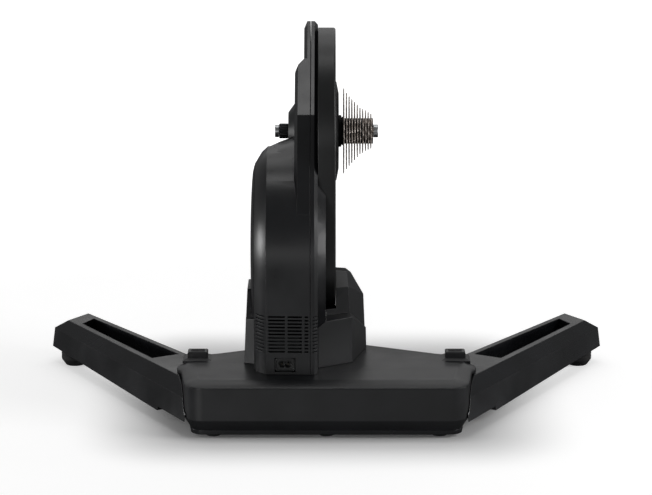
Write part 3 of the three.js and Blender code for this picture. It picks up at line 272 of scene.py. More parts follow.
def enamelledCopperWound():
    material, tree, shader = newMaterial("enamelledCopperWound", windings)
    where = addNode(tree, "ShaderNodeTexCoord").outputs["Object"]
    # Blender's bands are 20 units of phase wide, so the scale is set from the wire's own pitch
    turns = addNode(tree, "ShaderNodeTexWave", {
        "bands_direction": "X", "Scale": 2 * math.pi / 20 / (windings["wire"] * mm),
        "Distortion": windings["uneven"]}, {"Vector": where}).outputs["Fac"]
    shaded(tree, shader, turns, windings, 0.2, 0.8)
    relief(tree, shader, turns, windings)
    shader.inputs["Coat Weight"].default_value = windings["coat"]
    return material


# Glass-fibre laminate under black solder mask: the weave shows faintly through the lacquer.
laminate = {"colour": 0x101513, "paler": 0x18201c, "roughness": 0.38, "ior": 1.55,
            "weave": 1.2, "stretch": (1, 1, 0.25), "depth": 0.05, "bump": 0.5}


def solderMaskLaminate():
    material, tree, shader = newMaterial("solderMaskLaminate", laminate)
    weave = grain(tree, laminate["weave"], 1, laminate["stretch"])
    shaded(tree, shader, weave, laminate)
    relief(tree, shader, weave, laminate)
    return material


nylon = glassFilledNylonMoulded("glassFilledNylonMoulded", nylonGrain)
housingNylon = glassFilledNylonMoulded("glassFilledNylonHousing", housingGrain, fineArm)
polishedAbs = absPolishedMoulded()
powder = powderCoatedCast()
rubber = nitrileRubberMoulded()
copper = enamelledCopperWound()
board = solderMaskLaminate()
axleSteel = turnedMetal("turnedSteelAxle", turnedSteel, axle)
drumSteel = turnedMetal("turnedSteelFlywheel", turnedSteel, drum)
axleAluminium = turnedMetal("turnedAnodisedAluminium", anodised, axle)
oxideSteel = turnedMetal("blackOxideTurnedSteel", blackOxide, axle)
anodisedBlack = turnedMetal("blackAnodisedAluminium", blackAnodised, axle)
sprocketSteel = turnedMetal("darkNickelStampedSteel", darkNickel, axle)
toothSteel = turnedMetal("wornNickelAndGlintStampedSteel", wornNickelAndGlint, axle)
pinMetal = turnedMetal("nickelPlatedBrassPinInPaintedShade", pinInPaintedShade, axle)
print("materials made:", len(bpy.data.materials))

cadFinishes = {
    housingNylon: ["left_housing", "right_housing"],
    nylon: ["base_tub", "base_top_cover", "pedestal_shell", "belt_pan", "left_hub_cover", "power_inlet",
            "left_latch_tab", "right_latch_tab", "belt_cover", "guard_disc", "drum_cap"],
    rubber: ["rear_foot_left", "rear_foot_centre", "rear_foot_right", "left_leg_foot", "right_leg_foot",
             "drive_belt"],
    powder: ["left_leg", "right_leg", "base_plate", "chassis_beam", "brake_yoke", "spine_casting"],
    copper: ["brake_coil"],
    board: ["control_board"],
    axleSteel: ["axle_tube", "hub_bearing_inner", "hub_bearing_outer", "left_hinge_pin", "right_hinge_pin",
                "left_latch_spring", "right_latch_spring", "idler_arm"],
    # the inlet's pins are drawn dark: painted shade in the socket
    pinMetal: ["inlet_pin_left", "inlet_pin_right"],
    drumSteel: ["flywheel", "flywheel_shaft", "flywheel_bearing_left", "flywheel_bearing_right",
                "small_pulley"],
    axleAluminium: ["left_axle_tip", "right_axle_tip"],
    oxideSteel: ["left_axle_collar", "idler_roller"],
    anodisedBlack: ["drive_pulley", "freehub_body"],
    sprocketSteel: [name for name in cadNodes if name.startswith("sprocket_")] + ["cassette_lockring"],
}
# Edges sharper than the angle stay crisp, and on the moulded and cast shells shallow creases do so too.
smoothing = {"weld": 0.002, "angle": 24, "shellAngle": 16, "pieceAngle": 32}


def splitEdges(obj, angleName):
    split = obj.modifiers.new("sharpEdges", "EDGE_SPLIT")
    split.split_angle = math.radians(smoothing[angleName])


def dressNode(obj, material):
    obj.data.materials.clear()
    obj.data.materials.append(material)
    if "custom_normal" in obj.data.attributes:
        obj.data.attributes.remove(obj.data.attributes["custom_normal"])
    obj.data.polygons.foreach_set("use_smooth", [True] * len(obj.data.polygons))
    weld = obj.modifiers.new("weld", "WELD")
    weld.merge_threshold = smoothing["weld"] * mm
    splitEdges(obj, "shellAngle" if material in (housingNylon, nylon, powder) else "angle")
    obj.data.update()


for material, names in cadFinishes.items():
    for name in names:
        dressNode(cadNodes[name], material)
print("frame dressed:", sum(len(names) for names in cadFinishes.values()), "nodes")


# Mesh makers

def newPiece(name, points, faces, material, body):
    mesh = bpy.data.meshes.new(name)
    mesh.from_pydata([Vector(p) * mm for p in points], [], faces)
    mesh.materials.append(material)
    mesh.validate()
    mesh.polygons.foreach_set("use_smooth", [True] * len(mesh.polygons))
    # the faces are turned outward, whichever way their rings run
    shape = bmesh.new()
    shape.from_mesh(mesh)
    bmesh.ops.recalc_face_normals(shape, faces=shape.faces)
    shape.to_mesh(mesh)
    shape.free()
    piece = bpy.data.objects.new(name, mesh)
    bpy.context.scene.collection.objects.link(piece)
    splitEdges(piece, "pieceAngle")
    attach(piece, body)
    return piece


def nodeBox(node):
    # the two far corners of a CAD node
    return [[value / mm for value in corner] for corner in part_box(node)]


def evenAngles(count):
    return [2 * math.pi * spot / count for spot in range(count)]


def ringAbout(centre, place, radii, angles):
    # points round an axis along X, with a radius for each angle
    return [(place, centre[0] + radius * math.cos(angle), centre[1] + radius * math.sin(angle))
            for radius, angle in zip(radii, angles)]


def ringsMesh(rings, closed=True):
    # quads between rings of equal count; closed joins the last ring to the first
    count = len(rings[0])
    points = [p for ring in rings for p in ring]
    faces = []
    for here in range(len(rings) if closed else len(rings) - 1):
        there = (here + 1) % len(rings)
        for spot in range(count):
            after = (spot + 1) % count
            faces.append((here * count + spot, here * count + after,
                          there * count + after, there * count + spot))
    return points, faces


def endCaps(points, count):
    # the faces that close the first and the last ring
    return [tuple(range(count)), tuple(range(len(points) - count, len(points)))]


arcLimit = 0.45  # the most of a side that the arc at one of its corners takes up


def softened(profile, radius, steps=3):
    # a closed profile with each corner replaced by a small arc
    softer = []
    total = len(profile)
    for spot, here in enumerate(profile):
        before, after = Vector(profile[spot - 1]), Vector(profile[(spot + 1) % total])
        here = Vector(here)
        inward, outward = before - here, after - here
        reach = min(radius, inward.length * arcLimit, outward.length * arcLimit)
        start, end = here + inward.normalized() * reach, here + outward.normalized() * reach
        for step in range(steps + 1):
            t = step / steps
            softer.append(tuple((1 - t) ** 2 * start + 2 * t * (1 - t) * here + t * t * end))
    return softer


def turnedRings(profile, centre, count, across="X"):
    rings = [ringAbout(centre, place, [radius] * count, evenAngles(count)) for place, radius in profile]
    return rings if across == "X" else [[(a, b, place) for place, a, b in ring] for ring in rings]


def turnedPiece(name, profile, centre, count, material, body, softness, across="X"):
    points, faces = ringsMesh(turnedRings(softened(profile, softness), centre, count, across))
    return newPiece(name, points, faces, material, body)


# The belt drive's outline: an arc round the axle and one round the drum's axis, joined by straight runs
driveSteps = {"top": 96, "foot": 44}
driveReach = math.dist(axle, drum)
driveAngle = math.atan2(axle[1] - drum[1], axle[0] - drum[0])


def arcPoints(centre, radius, start, end, steps):
    angles = [start + (end - start) * step / steps for step in range(steps + 1)]
    return [(centre[0] + radius * math.cos(a), centre[1] + radius * math.sin(a)) for a in angles]


def driveLoop(top, foot):
    lean = math.acos((foot - top) / driveReach)
    return (arcPoints(axle, top, driveAngle - lean, driveAngle + lean, driveSteps["top"])
            + arcPoints(drum, foot, driveAngle + lean, driveAngle + 2 * math.pi - lean, driveSteps["foot"]))


# Belt cover: one smooth cover with a rolled outer edge and a fine groove round its face
beltCoverShape = {"left": -11.3, "right": 12.4, "top": 142, "foot": 85, "lip": 0.4, "roll": 3, "rollSteps": 6,
                  "wall": 3, "draft": 1, "hubHole": 24,
                  "grooveInset": 10, "grooveWidth": 2.2, "grooveDepth": 0.8, "grooveSlope": 0.5}


def beltCover():
    s = beltCoverShape
    roll = [(s["right"] - s["roll"] * (1 - math.sin(a)), s["roll"] * (1 - math.cos(a)))
            for a in [math.pi / 2 * step / s["rollSteps"] for step in range(s["rollSteps"] + 1)]]
    sunk, far = s["right"] - s["grooveDepth"], s["grooveInset"] + s["grooveWidth"]
    groove = [(s["right"], s["grooveInset"]), (sunk, s["grooveInset"] + s["grooveSlope"]),
              (sunk, far), (s["right"], far + s["grooveSlope"])]
    outside = [(s["left"], s["lip"]), (s["left"] + s["lip"], 0)] + roll + groove
    inner = s["right"] - s["wall"]
    inside = [(inner, s["wall"] + s["draft"]), (s["left"], s["wall"])]

    def coverRing(place, inset):
        return [(place, y, z) for y, z in driveLoop(s["top"] - inset, s["foot"] - inset)]

    # each point of the hub's hole lies on the line from the axle to a point of the outline
    rays = [math.atan2(z - axle[1], y - axle[0]) for y, z in driveLoop(s["top"], s["foot"])]
    hole = [ringAbout(axle, place, [s["hubHole"]] * len(rays), rays) for place in (s["right"], inner)]
    rings = [coverRing(*spot) for spot in outside] + hole + [coverRing(*spot) for spot in inside]
    points, faces = ringsMesh(rings)
    piece = newPiece("beltCoverMoulded", points, faces, polishedAbs, "base")
    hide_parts("belt_cover")


beltCover()

# Guard: a thin ring that slopes from the belt cover to the cassette
guardShape = {"left": 12.7, "thickness": 4.1, "outer": 68, "face": 52, "hole": 24, "edge": 1, "land": 6,
              "sunk": 0.6, "soft": 0.5, "count": 128}


def guardRing():
    s = guardShape
    right = s["left"] + s["thickness"]
    sunk = right - s["sunk"]
    piece = turnedPiece("guardRingMoulded", [
        (s["left"], s["hole"]), (s["left"], s["outer"]), (s["left"] + s["edge"], s["outer"]),
        (right, s["face"]), (right, s["face"] - s["land"]),
        (sunk, s["face"] - s["land"] - s["edge"]), (sunk, s["hole"]),
    ], axle, s["count"], polishedAbs, "base", s["soft"])
    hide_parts("guard_disc")


guardRing()

# Drum cap: a shallow dome with two turned steps, each point a share of the depth and of the radius
drumCapShape = {"rim": -96.8, "depth": 5.6, "radius": 117.5, "wall": 3, "lap": 7, "middle": 0.01,
                "count": 144,
                "domeShares": [(0.0, 1.0), (0.34, 0.955), (0.6, 0.9), (0.72, 0.84), (0.82, 0.76), (0.9, 0.66),
                               (0.93, 0.57), (0.955, 0.45), (0.985, 0.25), (1.0, 0.0)]}


def drumCap():
    s = drumCapShape
    dome = [(s["rim"] - depth * s["depth"], radius * s["radius"]) for depth, radius in s["domeShares"]]
    outer = [(s["rim"], s["radius"] - s["lap"])] + dome[:-1] + [(dome[-1][0], s["middle"])]
    inner = [(min(s["rim"], place + s["wall"]), max(s["middle"], radius - s["lap"]))
             for place, radius in reversed(dome[1:])]
    points, faces = ringsMesh(turnedRings(outer + inner, drum, s["count"]))
    piece = newPiece("drumCapMoulded", points, faces, nylon, "base")
    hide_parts("drum_cap")


drumCap()

# Sprockets: full tooth form with chamfered tips, every fourth tooth cut low for the chain to climb. A point
# of the flank is a share of the tooth's angle and a height above the pitch circle.
sprocketShape = {"pitch": 12.7, "roller": 3.97, "tooth": 2.0, "thickness": 1.6, "bore": 15.7, "boreWall": 0.4,
                 "rootWall": 1.2, "chamfer": 0.4, "tipChamferShare": 1.2, "rootChamferShare": 0.3,
                 "gateEvery": 4, "gateDrop": 0.8, "gateOver": 12, "wornAndGlintDepth": 4.5, "wornAndGlintMargin": 0.1,
                 "spacerRadius": 17.6, "spacerInset": 0.6, "leastSpacer": 0.5, "spacerOver": 14,
                 "touch": 0.01,
                 "flank": [(-0.42, -3.5), (-0.34, -2.1), (-0.24, 0.2), (-0.15, 1.5), (-0.09, 2.0),
                           (0.09, 2.0), (0.15, 1.5), (0.24, 0.2), (0.34, -2.1), (0.42, -3.5), (0.5, -3.97)]}


def sprocket(name):
    s = sprocketShape
    teeth = int(name.split("_")[1])
    low, high = nodeBox(name)
    left, end = low[0], high[0]
    right = left + s["thickness"]
    pitchRadius = s["pitch"] / (2 * math.sin(math.pi / teeth))
    full, angles = [], []
    for tooth in range(teeth):
        drop = s["gateDrop"] if tooth % s["gateEvery"] == 1 and teeth > s["gateOver"] else 0
        for share, rise in s["flank"]:
            full.append(pitchRadius + min(rise, s["tooth"] - drop))
            angles.append((tooth + share) * 2 * math.pi / teeth)

    def ring(place, radii):
        return ringAbout(axle, place, radii, angles)

    thin = [radius - s["chamfer"] * s["tipChamferShare" if radius > pitchRadius else "rootChamferShare"]
            for radius in full]
    flat = [max(s["bore"] + s["boreWall"], pitchRadius - s["roller"] - s["rootWall"])] * len(angles)
    bore = [s["bore"]] * len(angles)
    rings = [ring(left, bore), ring(left, flat), ring(left, thin), ring(left + s["chamfer"], full),
             ring(right - s["chamfer"], full), ring(right, thin), ring(right, flat)]
    if end - right > s["leastSpacer"]:  # the spacer behind the next sprocket is part of this one
        spacer = [min(s["spacerRadius"], pitchRadius - s["roller"] - s["spacerInset"])] * len(angles)
        rings += [ring(right, spacer), ring(end, spacer), ring(end, bore)]
    else:
        rings += [ring(right, bore)]
    points, faces = ringsMesh(rings)
    piece = newPiece(f"{name}_stamped", points, faces, sprocketSteel, "cassette")
    piece.data.materials.append(toothSteel)
    piece.data.materials.append(polishedAbs)
    # the faces near the tips take the paler steel: partly wear, partly a painted highlight along the edges
    for face in piece.data.polygons:
        x, y, z = [value / mm for value in face.center]
        offCentre = abs(x - (left + right) / 2)
        out = math.hypot(y - axle[0], z - axle[1])
        if out > pitchRadius - s["wornAndGlintDepth"] and offCentre < s["thickness"] / 2 - s["wornAndGlintMargin"]:
            face.material_index = 1
        elif x > right + s["touch"] and teeth > s["spacerOver"]:
            face.material_index = 2
    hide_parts(name)


for nodeName in sorted(cadNodes):
    if nodeName.startswith("sprocket_"):
        sprocket(nodeName)
print("belt cover, guard, cap and sprockets made")

# Lockring: a ring with a sunken face and an inner spline for its tool
lockringShape = {"outer": 17.8, "inner": 8.8, "wall": 4, "lip": 0.4, "faceRadius": 15.2, "sunkRadius": 14.8,
                 "sunk": 0.5, "splines": 12, "stepsPerSpline": 12, "splineDepth": 1.3}


def lockring():
    s = lockringShape
    low, high = nodeBox("cassette_lockring")
    left, right = low[0], high[0]
    steps = s["stepsPerSpline"]
    angles = evenAngles(s["splines"] * steps)

    def ring(place, radius, depth=0.0):
        radii = [radius - (depth if spot % steps < steps / 2 else 0) for spot in range(len(angles))]
        return ringAbout(axle, place, radii, angles)

    hollow, shoulder = s["inner"] + s["wall"], s["outer"] - s["lip"]
    rings = [ring(left, hollow), ring(left, shoulder), ring(left + s["lip"], s["outer"]),
             ring(right - s["lip"], s["outer"]), ring(right, shoulder), ring(right, s["faceRadius"]),
             ring(right - s["sunk"], s["sunkRadius"]), ring(right - s["sunk"], hollow, s["splineDepth"])]
    points, faces = ringsMesh(rings)
    piece = newPiece("lockringTurned", points, faces, sprocketSteel, "cassette")
    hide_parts("cassette_lockring")


lockring()

# Axle ends: turned tips with a serrated face that bites into the dropout
tipShape = {"leftRadius": 8.6, "rightRadius": 9.0, "bore": 6.0, "edge": 0.5, "innerEdge": 0.3, "teeth": 40,
            "toothDepth": 0.3, "outerLand": 0.2, "innerLand": 0.5, "boreLip": 0.3, "boreEdge": 0.4}


def axleTip(node, outward, radius):
    s = tipShape
    low, high = nodeBox(node)
    inner, face = (low[0], high[0]) if outward > 0 else (high[0], low[0])
    angles = evenAngles(s["teeth"] * 2)

    def ring(place, size, bite=0.0):
        plain = ringAbout(axle, place, [size] * len(angles), angles)
        return [(x - outward * (bite if spot % 2 else 0), y, z) for spot, (x, y, z) in enumerate(plain)]

    rim = radius - s["edge"]
    rings = [ring(inner, s["bore"]), ring(inner, radius - s["innerEdge"]),
             ring(inner + outward * s["innerEdge"], radius), ring(face - outward * s["edge"], radius),
             ring(face, rim), ring(face, rim - s["outerLand"], s["toothDepth"]),
             ring(face, s["bore"] + s["innerLand"], s["toothDepth"]), ring(face, s["bore"] + s["boreLip"]),
             ring(face - outward * s["boreEdge"], s["bore"])]
    points, faces = ringsMesh(rings)
    piece = newPiece(f"{node}_turned", points, faces, axleAluminium, "base")
    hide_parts(node)


axleTip("left_axle_tip", -1, tipShape["leftRadius"])
axleTip("right_axle_tip", 1, tipShape["rightRadius"])

# Dust seal in the joint between the pulley's hub and the freehub
hubSealShape = {"room": 0.06, "outer": 18.6, "inner": 9.2, "lip": 0.12, "count": 96}


def hubSeal():
    s = hubSealShape
    left = nodeBox("drive_pulley")[1][0] + s["room"]
    right = nodeBox("freehub_body")[0][0] - s["room"]
    profile = [(left, s["inner"]), (left, s["outer"]), (right, s["outer"]), (right, s["inner"])]
    piece = turnedPiece("hubDustSeal", profile, axle, s["count"], rubber, "pulley", s["lip"])


hubSeal()

# Collar on the left: a fluted grip
collarShape = {"outer": 10.5, "bore": 8.8, "flutes": 16, "stepsPerFlute": 8, "depth": 0.9, "edge": 0.7,
               "endInset": 0.4}


def collar():
    s = collarShape
    low, high = nodeBox("left_axle_collar")
    left, right = low[0], high[0]
    angles = evenAngles(s["flutes"] * s["stepsPerFlute"])

    def ring(place, radius, depth=0.0):
        waves = [depth * (0.5 - 0.5 * math.cos(angle * s["flutes"])) ** 2 for angle in angles]
        return ringAbout(axle, place, [radius - wave for wave in waves], angles)

    rim = s["outer"] - s["edge"] - s["endInset"]
    rings = [ring(left, s["bore"]), ring(left, rim), ring(left + s["edge"], s["outer"], s["depth"]),
             ring(right - s["edge"], s["outer"], s["depth"]), ring(right, rim), ring(right, s["bore"])]
    points, faces = ringsMesh(rings)
    piece = newPiece("leftCollarFluted", points, faces, oxideSteel, "base")
    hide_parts("left_axle_collar")


collar()

# Feet: moulded rubber with rings pressed into the tread. A side is a list of heights and radii.
footShape = {"grooveDepth": 0.8, "grooveWidth": 1.6, "grooveSlope": 0.3, "firstGroove": 3.0,
             "pitchShare": 2.6, "middle": 0.01, "soft": 0.7, "count": 72, "rearTread": 10, "legTread": 13,
             "rearSide": [(0, 9.6), (1.2, 11), (4.7, 11)],
             "legSide": [(0, 13.2), (1.0, 14.4), (8.6, 19.6), (10, 20), (14.4, 20), (15, 19.3), (16, 19.3),
                         (16.6, 20), (22.7, 20)]}


def foot(node, body, tread, side):
    s = footShape
    low, high = nodeBox(node)
    centre = ((low[0] + high[0]) / 2, (low[1] + high[1]) / 2)
    profile = [(0, s["middle"])]
    place, width = s["firstGroove"], s["grooveWidth"]
    while place + 2 * width < tread:
        profile += [(0, place), (s["grooveDepth"], place + s["grooveSlope"]),
                    (s["grooveDepth"], place + width), (0, place + width + s["grooveSlope"])]
        place += s["pitchShare"] * width
    profile += side + [(side[-1][0], s["middle"])]
    piece = turnedPiece(f"{node}_moulded", profile, centre, s["count"], rubber, body, s["soft"], "Z")
    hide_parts(node)


for side in ("left", "centre", "right"):
    foot(f"rear_foot_{side}", "base", footShape["rearTread"], footShape["rearSide"])
for side in ("left", "right"):
    foot(f"{side}_leg_foot", f"{side}_leg", footShape["legTread"], footShape["legSide"])
print("lockring, axle ends, collar and feet made")

# Screws: low button heads with a six-lobe socket, each point of the dome a share of the height and the radius
screwShape = {"radius": 3.6, "height": 1.5, "sunk": 0.3, "lobes": 6, "lobeShare": 0.12, "socket": 1.7,
              "socketDepth": 1.0, "floorShare": 0.95, "floorDip": 0.1, "middle": 0.02, "count": 48,
              "domeShares": [(0, 1.0), (0.35, 1.0), (0.62, 0.93), (0.85, 0.8), (1.0, 0.62), (1.0, 0.55)]}


def screw(name, place, outward):
    s = screwShape
    outward = Vector(outward).normalized()
    side = outward.orthogonal().normalized()
    up = outward.cross(side)

    def ring(height, radius, lobe=0.0):
        points = []
        for angle in evenAngles(s["count"]):
            size = radius * (1 + lobe * math.cos(s["lobes"] * angle))
            spoke = side * size * math.cos(angle) + up * size * math.sin(angle)
            points.append(Vector(place) + outward * height + spoke)
        return points

    floor = s["height"] - s["socketDepth"]
    rings = [ring(-s["sunk"], s["radius"])]
    rings += [ring(rise * s["height"], share * s["radius"]) for rise, share in s["domeShares"]]
    rings += [ring(s["height"], s["socket"], s["lobeShare"]),
              ring(floor, s["socket"] * s["floorShare"], s["lobeShare"]),
              ring(floor - s["floorDip"], s["middle"])]
    points, faces = ringsMesh(rings, closed=False)
    piece = newPiece(name, points, faces, oxideSteel, "base")


# Six screws hold the belt cover, three of them above the axle
coverScrews = {"seat": 11.1, "inset": 20, "angles": [100, 40, -20, 160, 215], "belowDrum": 65}
for number, angle in enumerate(coverScrews["angles"]):
    turned = math.radians(angle)
    reach = beltCoverShape["top"] - coverScrews["inset"]
    y, z = axle[0] + reach * math.cos(turned), axle[1] + reach * math.sin(turned)
    screw(f"coverScrew{number}", (coverScrews["seat"], y, z), (1, 0, 0))
screw("coverScrewFoot", (coverScrews["seat"], drum[0], drum[1] - coverScrews["belowDrum"]), (1, 0, 0))

# Screws under the base plate
plateScrews = {"seat": 5.0, "places": [(-165, -185), (165, -185), (-60, -185), (60, -185), (-120, -80),
                                       (120, -80), (-60, -35), (60, -35)]}
for number, (x, y) in enumerate(plateScrews["places"]):
    screw(f"plateScrew{number}", (x, y, plateScrews["seat"]), (0, 0, -1))

# Mains inlet: a raised rim, a sunken face and a figure-of-eight socket for a two-pole plug
inletShape = {"edge": 0.5, "edgeFlat": 0.2, "edgeRise": 0.1, "edgeShare": 0.7, "rim": 1.3, "rimSlope": 0.3,
              "sunk": 2.6, "reach": 4.1, "lobe": 4.5, "lip": 0.5, "pinGap": 0.3, "middle": 0.02, "count": 96,
              "squareness": 6}


def inlet():
    s = inletShape
    low, high = nodeBox("power_inlet")
    centre = ((low[0] + high[0]) / 2, (low[2] + high[2]) / 2)
    half = ((high[0] - low[0]) / 2, (high[2] - low[2]) / 2)
    front, back = low[1], high[1]
    floor = nodeBox("inlet_pin_left")[1][1] + s["pinGap"]
    angles = [2 * math.pi * (spot + 0.5) / s["count"] for spot in range(s["count"])]

    def around(y, sizes):
        return [(centre[0] + r * math.cos(t), y, centre[1] + r * math.sin(t)) for r, t in zip(sizes, angles)]

    def frameRing(y, inset):
        a, b, power = half[0] - inset, half[1] - inset, s["squareness"]
        return around(y, [(abs(math.cos(t) / a) ** power + abs(math.sin(t) / b) ** power) ** (-1 / power)
                          for t in angles])

    def socketRing(y, radius):
        aside = [s["reach"] * math.sin(t) for t in angles]
        along = [s["reach"] * abs(math.cos(t)) for t in angles]
        return around(y, [a + math.sqrt(radius ** 2 - b ** 2) for a, b in zip(along, aside)])

    face, closing = front + s["sunk"], half[1] - s["middle"]
    rings = [frameRing(back, closing), frameRing(back, 0), frameRing(front + s["edge"], 0),
             frameRing(front + s["edgeRise"], s["edge"] * s["edgeShare"]),
             frameRing(front, s["edge"] + s["edgeFlat"]), frameRing(front, s["rim"]),
             frameRing(face, s["rim"] + s["rimSlope"]), socketRing(face, s["lobe"] + s["lip"]),
             socketRing(face + s["lip"], s["lobe"]), socketRing(floor, s["lobe"]), frameRing(floor, closing)]
    points, faces = ringsMesh(rings, closed=False)
    faces += endCaps(points, s["count"])
    piece = newPiece("mainsInletMoulded", points, faces, polishedAbs, "base")
    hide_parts("power_inlet")


inlet()

# Dark rubber strip in the joint between the drum's right face and the fairing, so that no light comes
# through the joint: a dark sheet that stands in for the joint's shade, painted shade.
jointShadeStripShape = {"left": -0.97, "right": -0.73, "rear": -66, "front": -50, "bottom": 84, "top": 149, "corner": 4,
             "cornerSteps": 5}


def drumJointShade():
    s = jointShadeStripShape
    corners = [(s["rear"], s["bottom"]), (s["front"], s["bottom"]), (s["front"], s["top"]),
               (s["rear"], s["top"])]
    outline = softened(corners, s["corner"], s["cornerSteps"])
    rings = [[(x, y, z) for y, z in outline] for x in (s["left"], s["right"])]
    points, faces = ringsMesh(rings, closed=False)
    faces += endCaps(points, len(outline))
    # the strip is dark rubber: painted shade in the joint
    piece = newPiece("drumJointShadeStrip", points, faces, rubber, "base")


drumJointShade()

# Latch springs: wound wire with closed ends, which shorten as the tab is pressed
coilShape = {"radius": 5.9, "wire": 0.55, "turns": 4.5, "closed": 0.9, "closedShare": 0.12, "travel": 4,
             "stepsPerTurn": 36, "wireSides": 10}


def latchCoil(side):
    s = coilShape
    node = f"{side}_latch_spring"
    low, high = nodeBox(node)
    middle = ((low[0] + high[0]) / 2, (low[1] + high[1]) / 2)
    bottom, top = low[2] + s["wire"], high[2] - s["wire"]
    steps = int(s["turns"] * s["stepsPerTurn"])

    def climb(turn):
        # the end turns lie flat against their neighbours
        ends = min(turn, s["closed"]) + max(0, turn - s["turns"] + s["closed"])
        return ends * s["closedShare"] + max(0, min(turn, s["turns"] - s["closed"]) - s["closed"])

    rings = []
    for step in range(steps + 1):
        turn = s["turns"] * step / steps
        angle = 2 * math.pi * turn
        z = bottom + (top - bottom) * climb(turn) / climb(s["turns"])
        ring = []
        for a in evenAngles(s["wireSides"]):
            radius = s["radius"] + s["wire"] * math.cos(a)
            ring.append((middle[0] + radius * math.cos(angle), middle[1] + radius * math.sin(angle),
                         z + s["wire"] * math.sin(a)))
        rings.append(ring)
    points, faces = ringsMesh(rings, closed=False)
    faces += endCaps(points, s["wireSides"])
    piece = newPiece(f"{side}LatchCoil", points, faces, axleSteel, "base")
    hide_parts(node)
    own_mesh(piece)


for side in ("left", "right"):
    latchCoil(side)

# Grip ribs across each latch tab, each ring of a rib a rise and a share of its width
ribShape = {"length": 19, "width": 1.6, "pitch": 4.2, "ribs": 3, "count": 24,
            "rings": [(-0.3, 1.0), (0.25, 1.0), (0.55, 0.8), (0.7, 0.4)]}


def latchRibs(side):
    s = ribShape
    low, high = nodeBox(f"{side}_latch_tab")
    middle = ((low[0] + high[0]) / 2, (low[1] + high[1]) / 2)
    cap = s["length"] / 2 - s["width"] / 2
    points, faces = [], []
    for number in range(s["ribs"]):
        y = middle[1] + (number - (s["ribs"] - 1) / 2) * s["pitch"]
        bar = []
        for rise, share in s["rings"]:
            half = s["width"] / 2 * share
            bar.append([(middle[0] + math.copysign(cap, math.cos(angle)) + half * math.cos(angle),
                         y + half * math.sin(angle), high[2] + rise) for angle in evenAngles(s["count"])])
        barPoints, barFaces = ringsMesh(bar, closed=False)
        barFaces.append(endCaps(barPoints, s["count"])[1])
        faces += [tuple(len(points) + corner for corner in face) for face in barFaces]
        points += barPoints
    piece = newPiece(f"{side}LatchRibs", points, faces, nylon, f"{side}_latch")


for side in ("left", "right"):
    latchRibs(side)
print("screws, inlet, seal, springs and ribs made")


# Studio, in metres

# The floor is plain and pale. For the camera it glows fully where it is far off, so that it ends in white,
# and hardly at all close to the base: there the dark is painted shadow, laid over the lamps' own shadow.
# Mirrored in the black shell it counts for less, as a matt floor does, and what it shows there is a painted
# reflection: a painted pool of light behind the trainer, and painted shade at the base's foot.
floorLook = {"colour": 0xf4f4f4, "size": 14, "base": (0.19, 0.2),
             "paintedShadowGlow": 0.03, "nearGlow": 0.5, "paintedShadowEnd": 0.16, "fadeStart": 0.75, "fadeEnd": 1.9,
             "mirroredNear": 0.62, "mirroredFar": 0.17, "paintedPoolCentre": (0, -0.45, 0), "paintedPoolStart": 0.25,
             "paintedPoolEnd": 0.55, "paintedFootShade": 0.3, "paintedFootShadeEnd": 0.08}


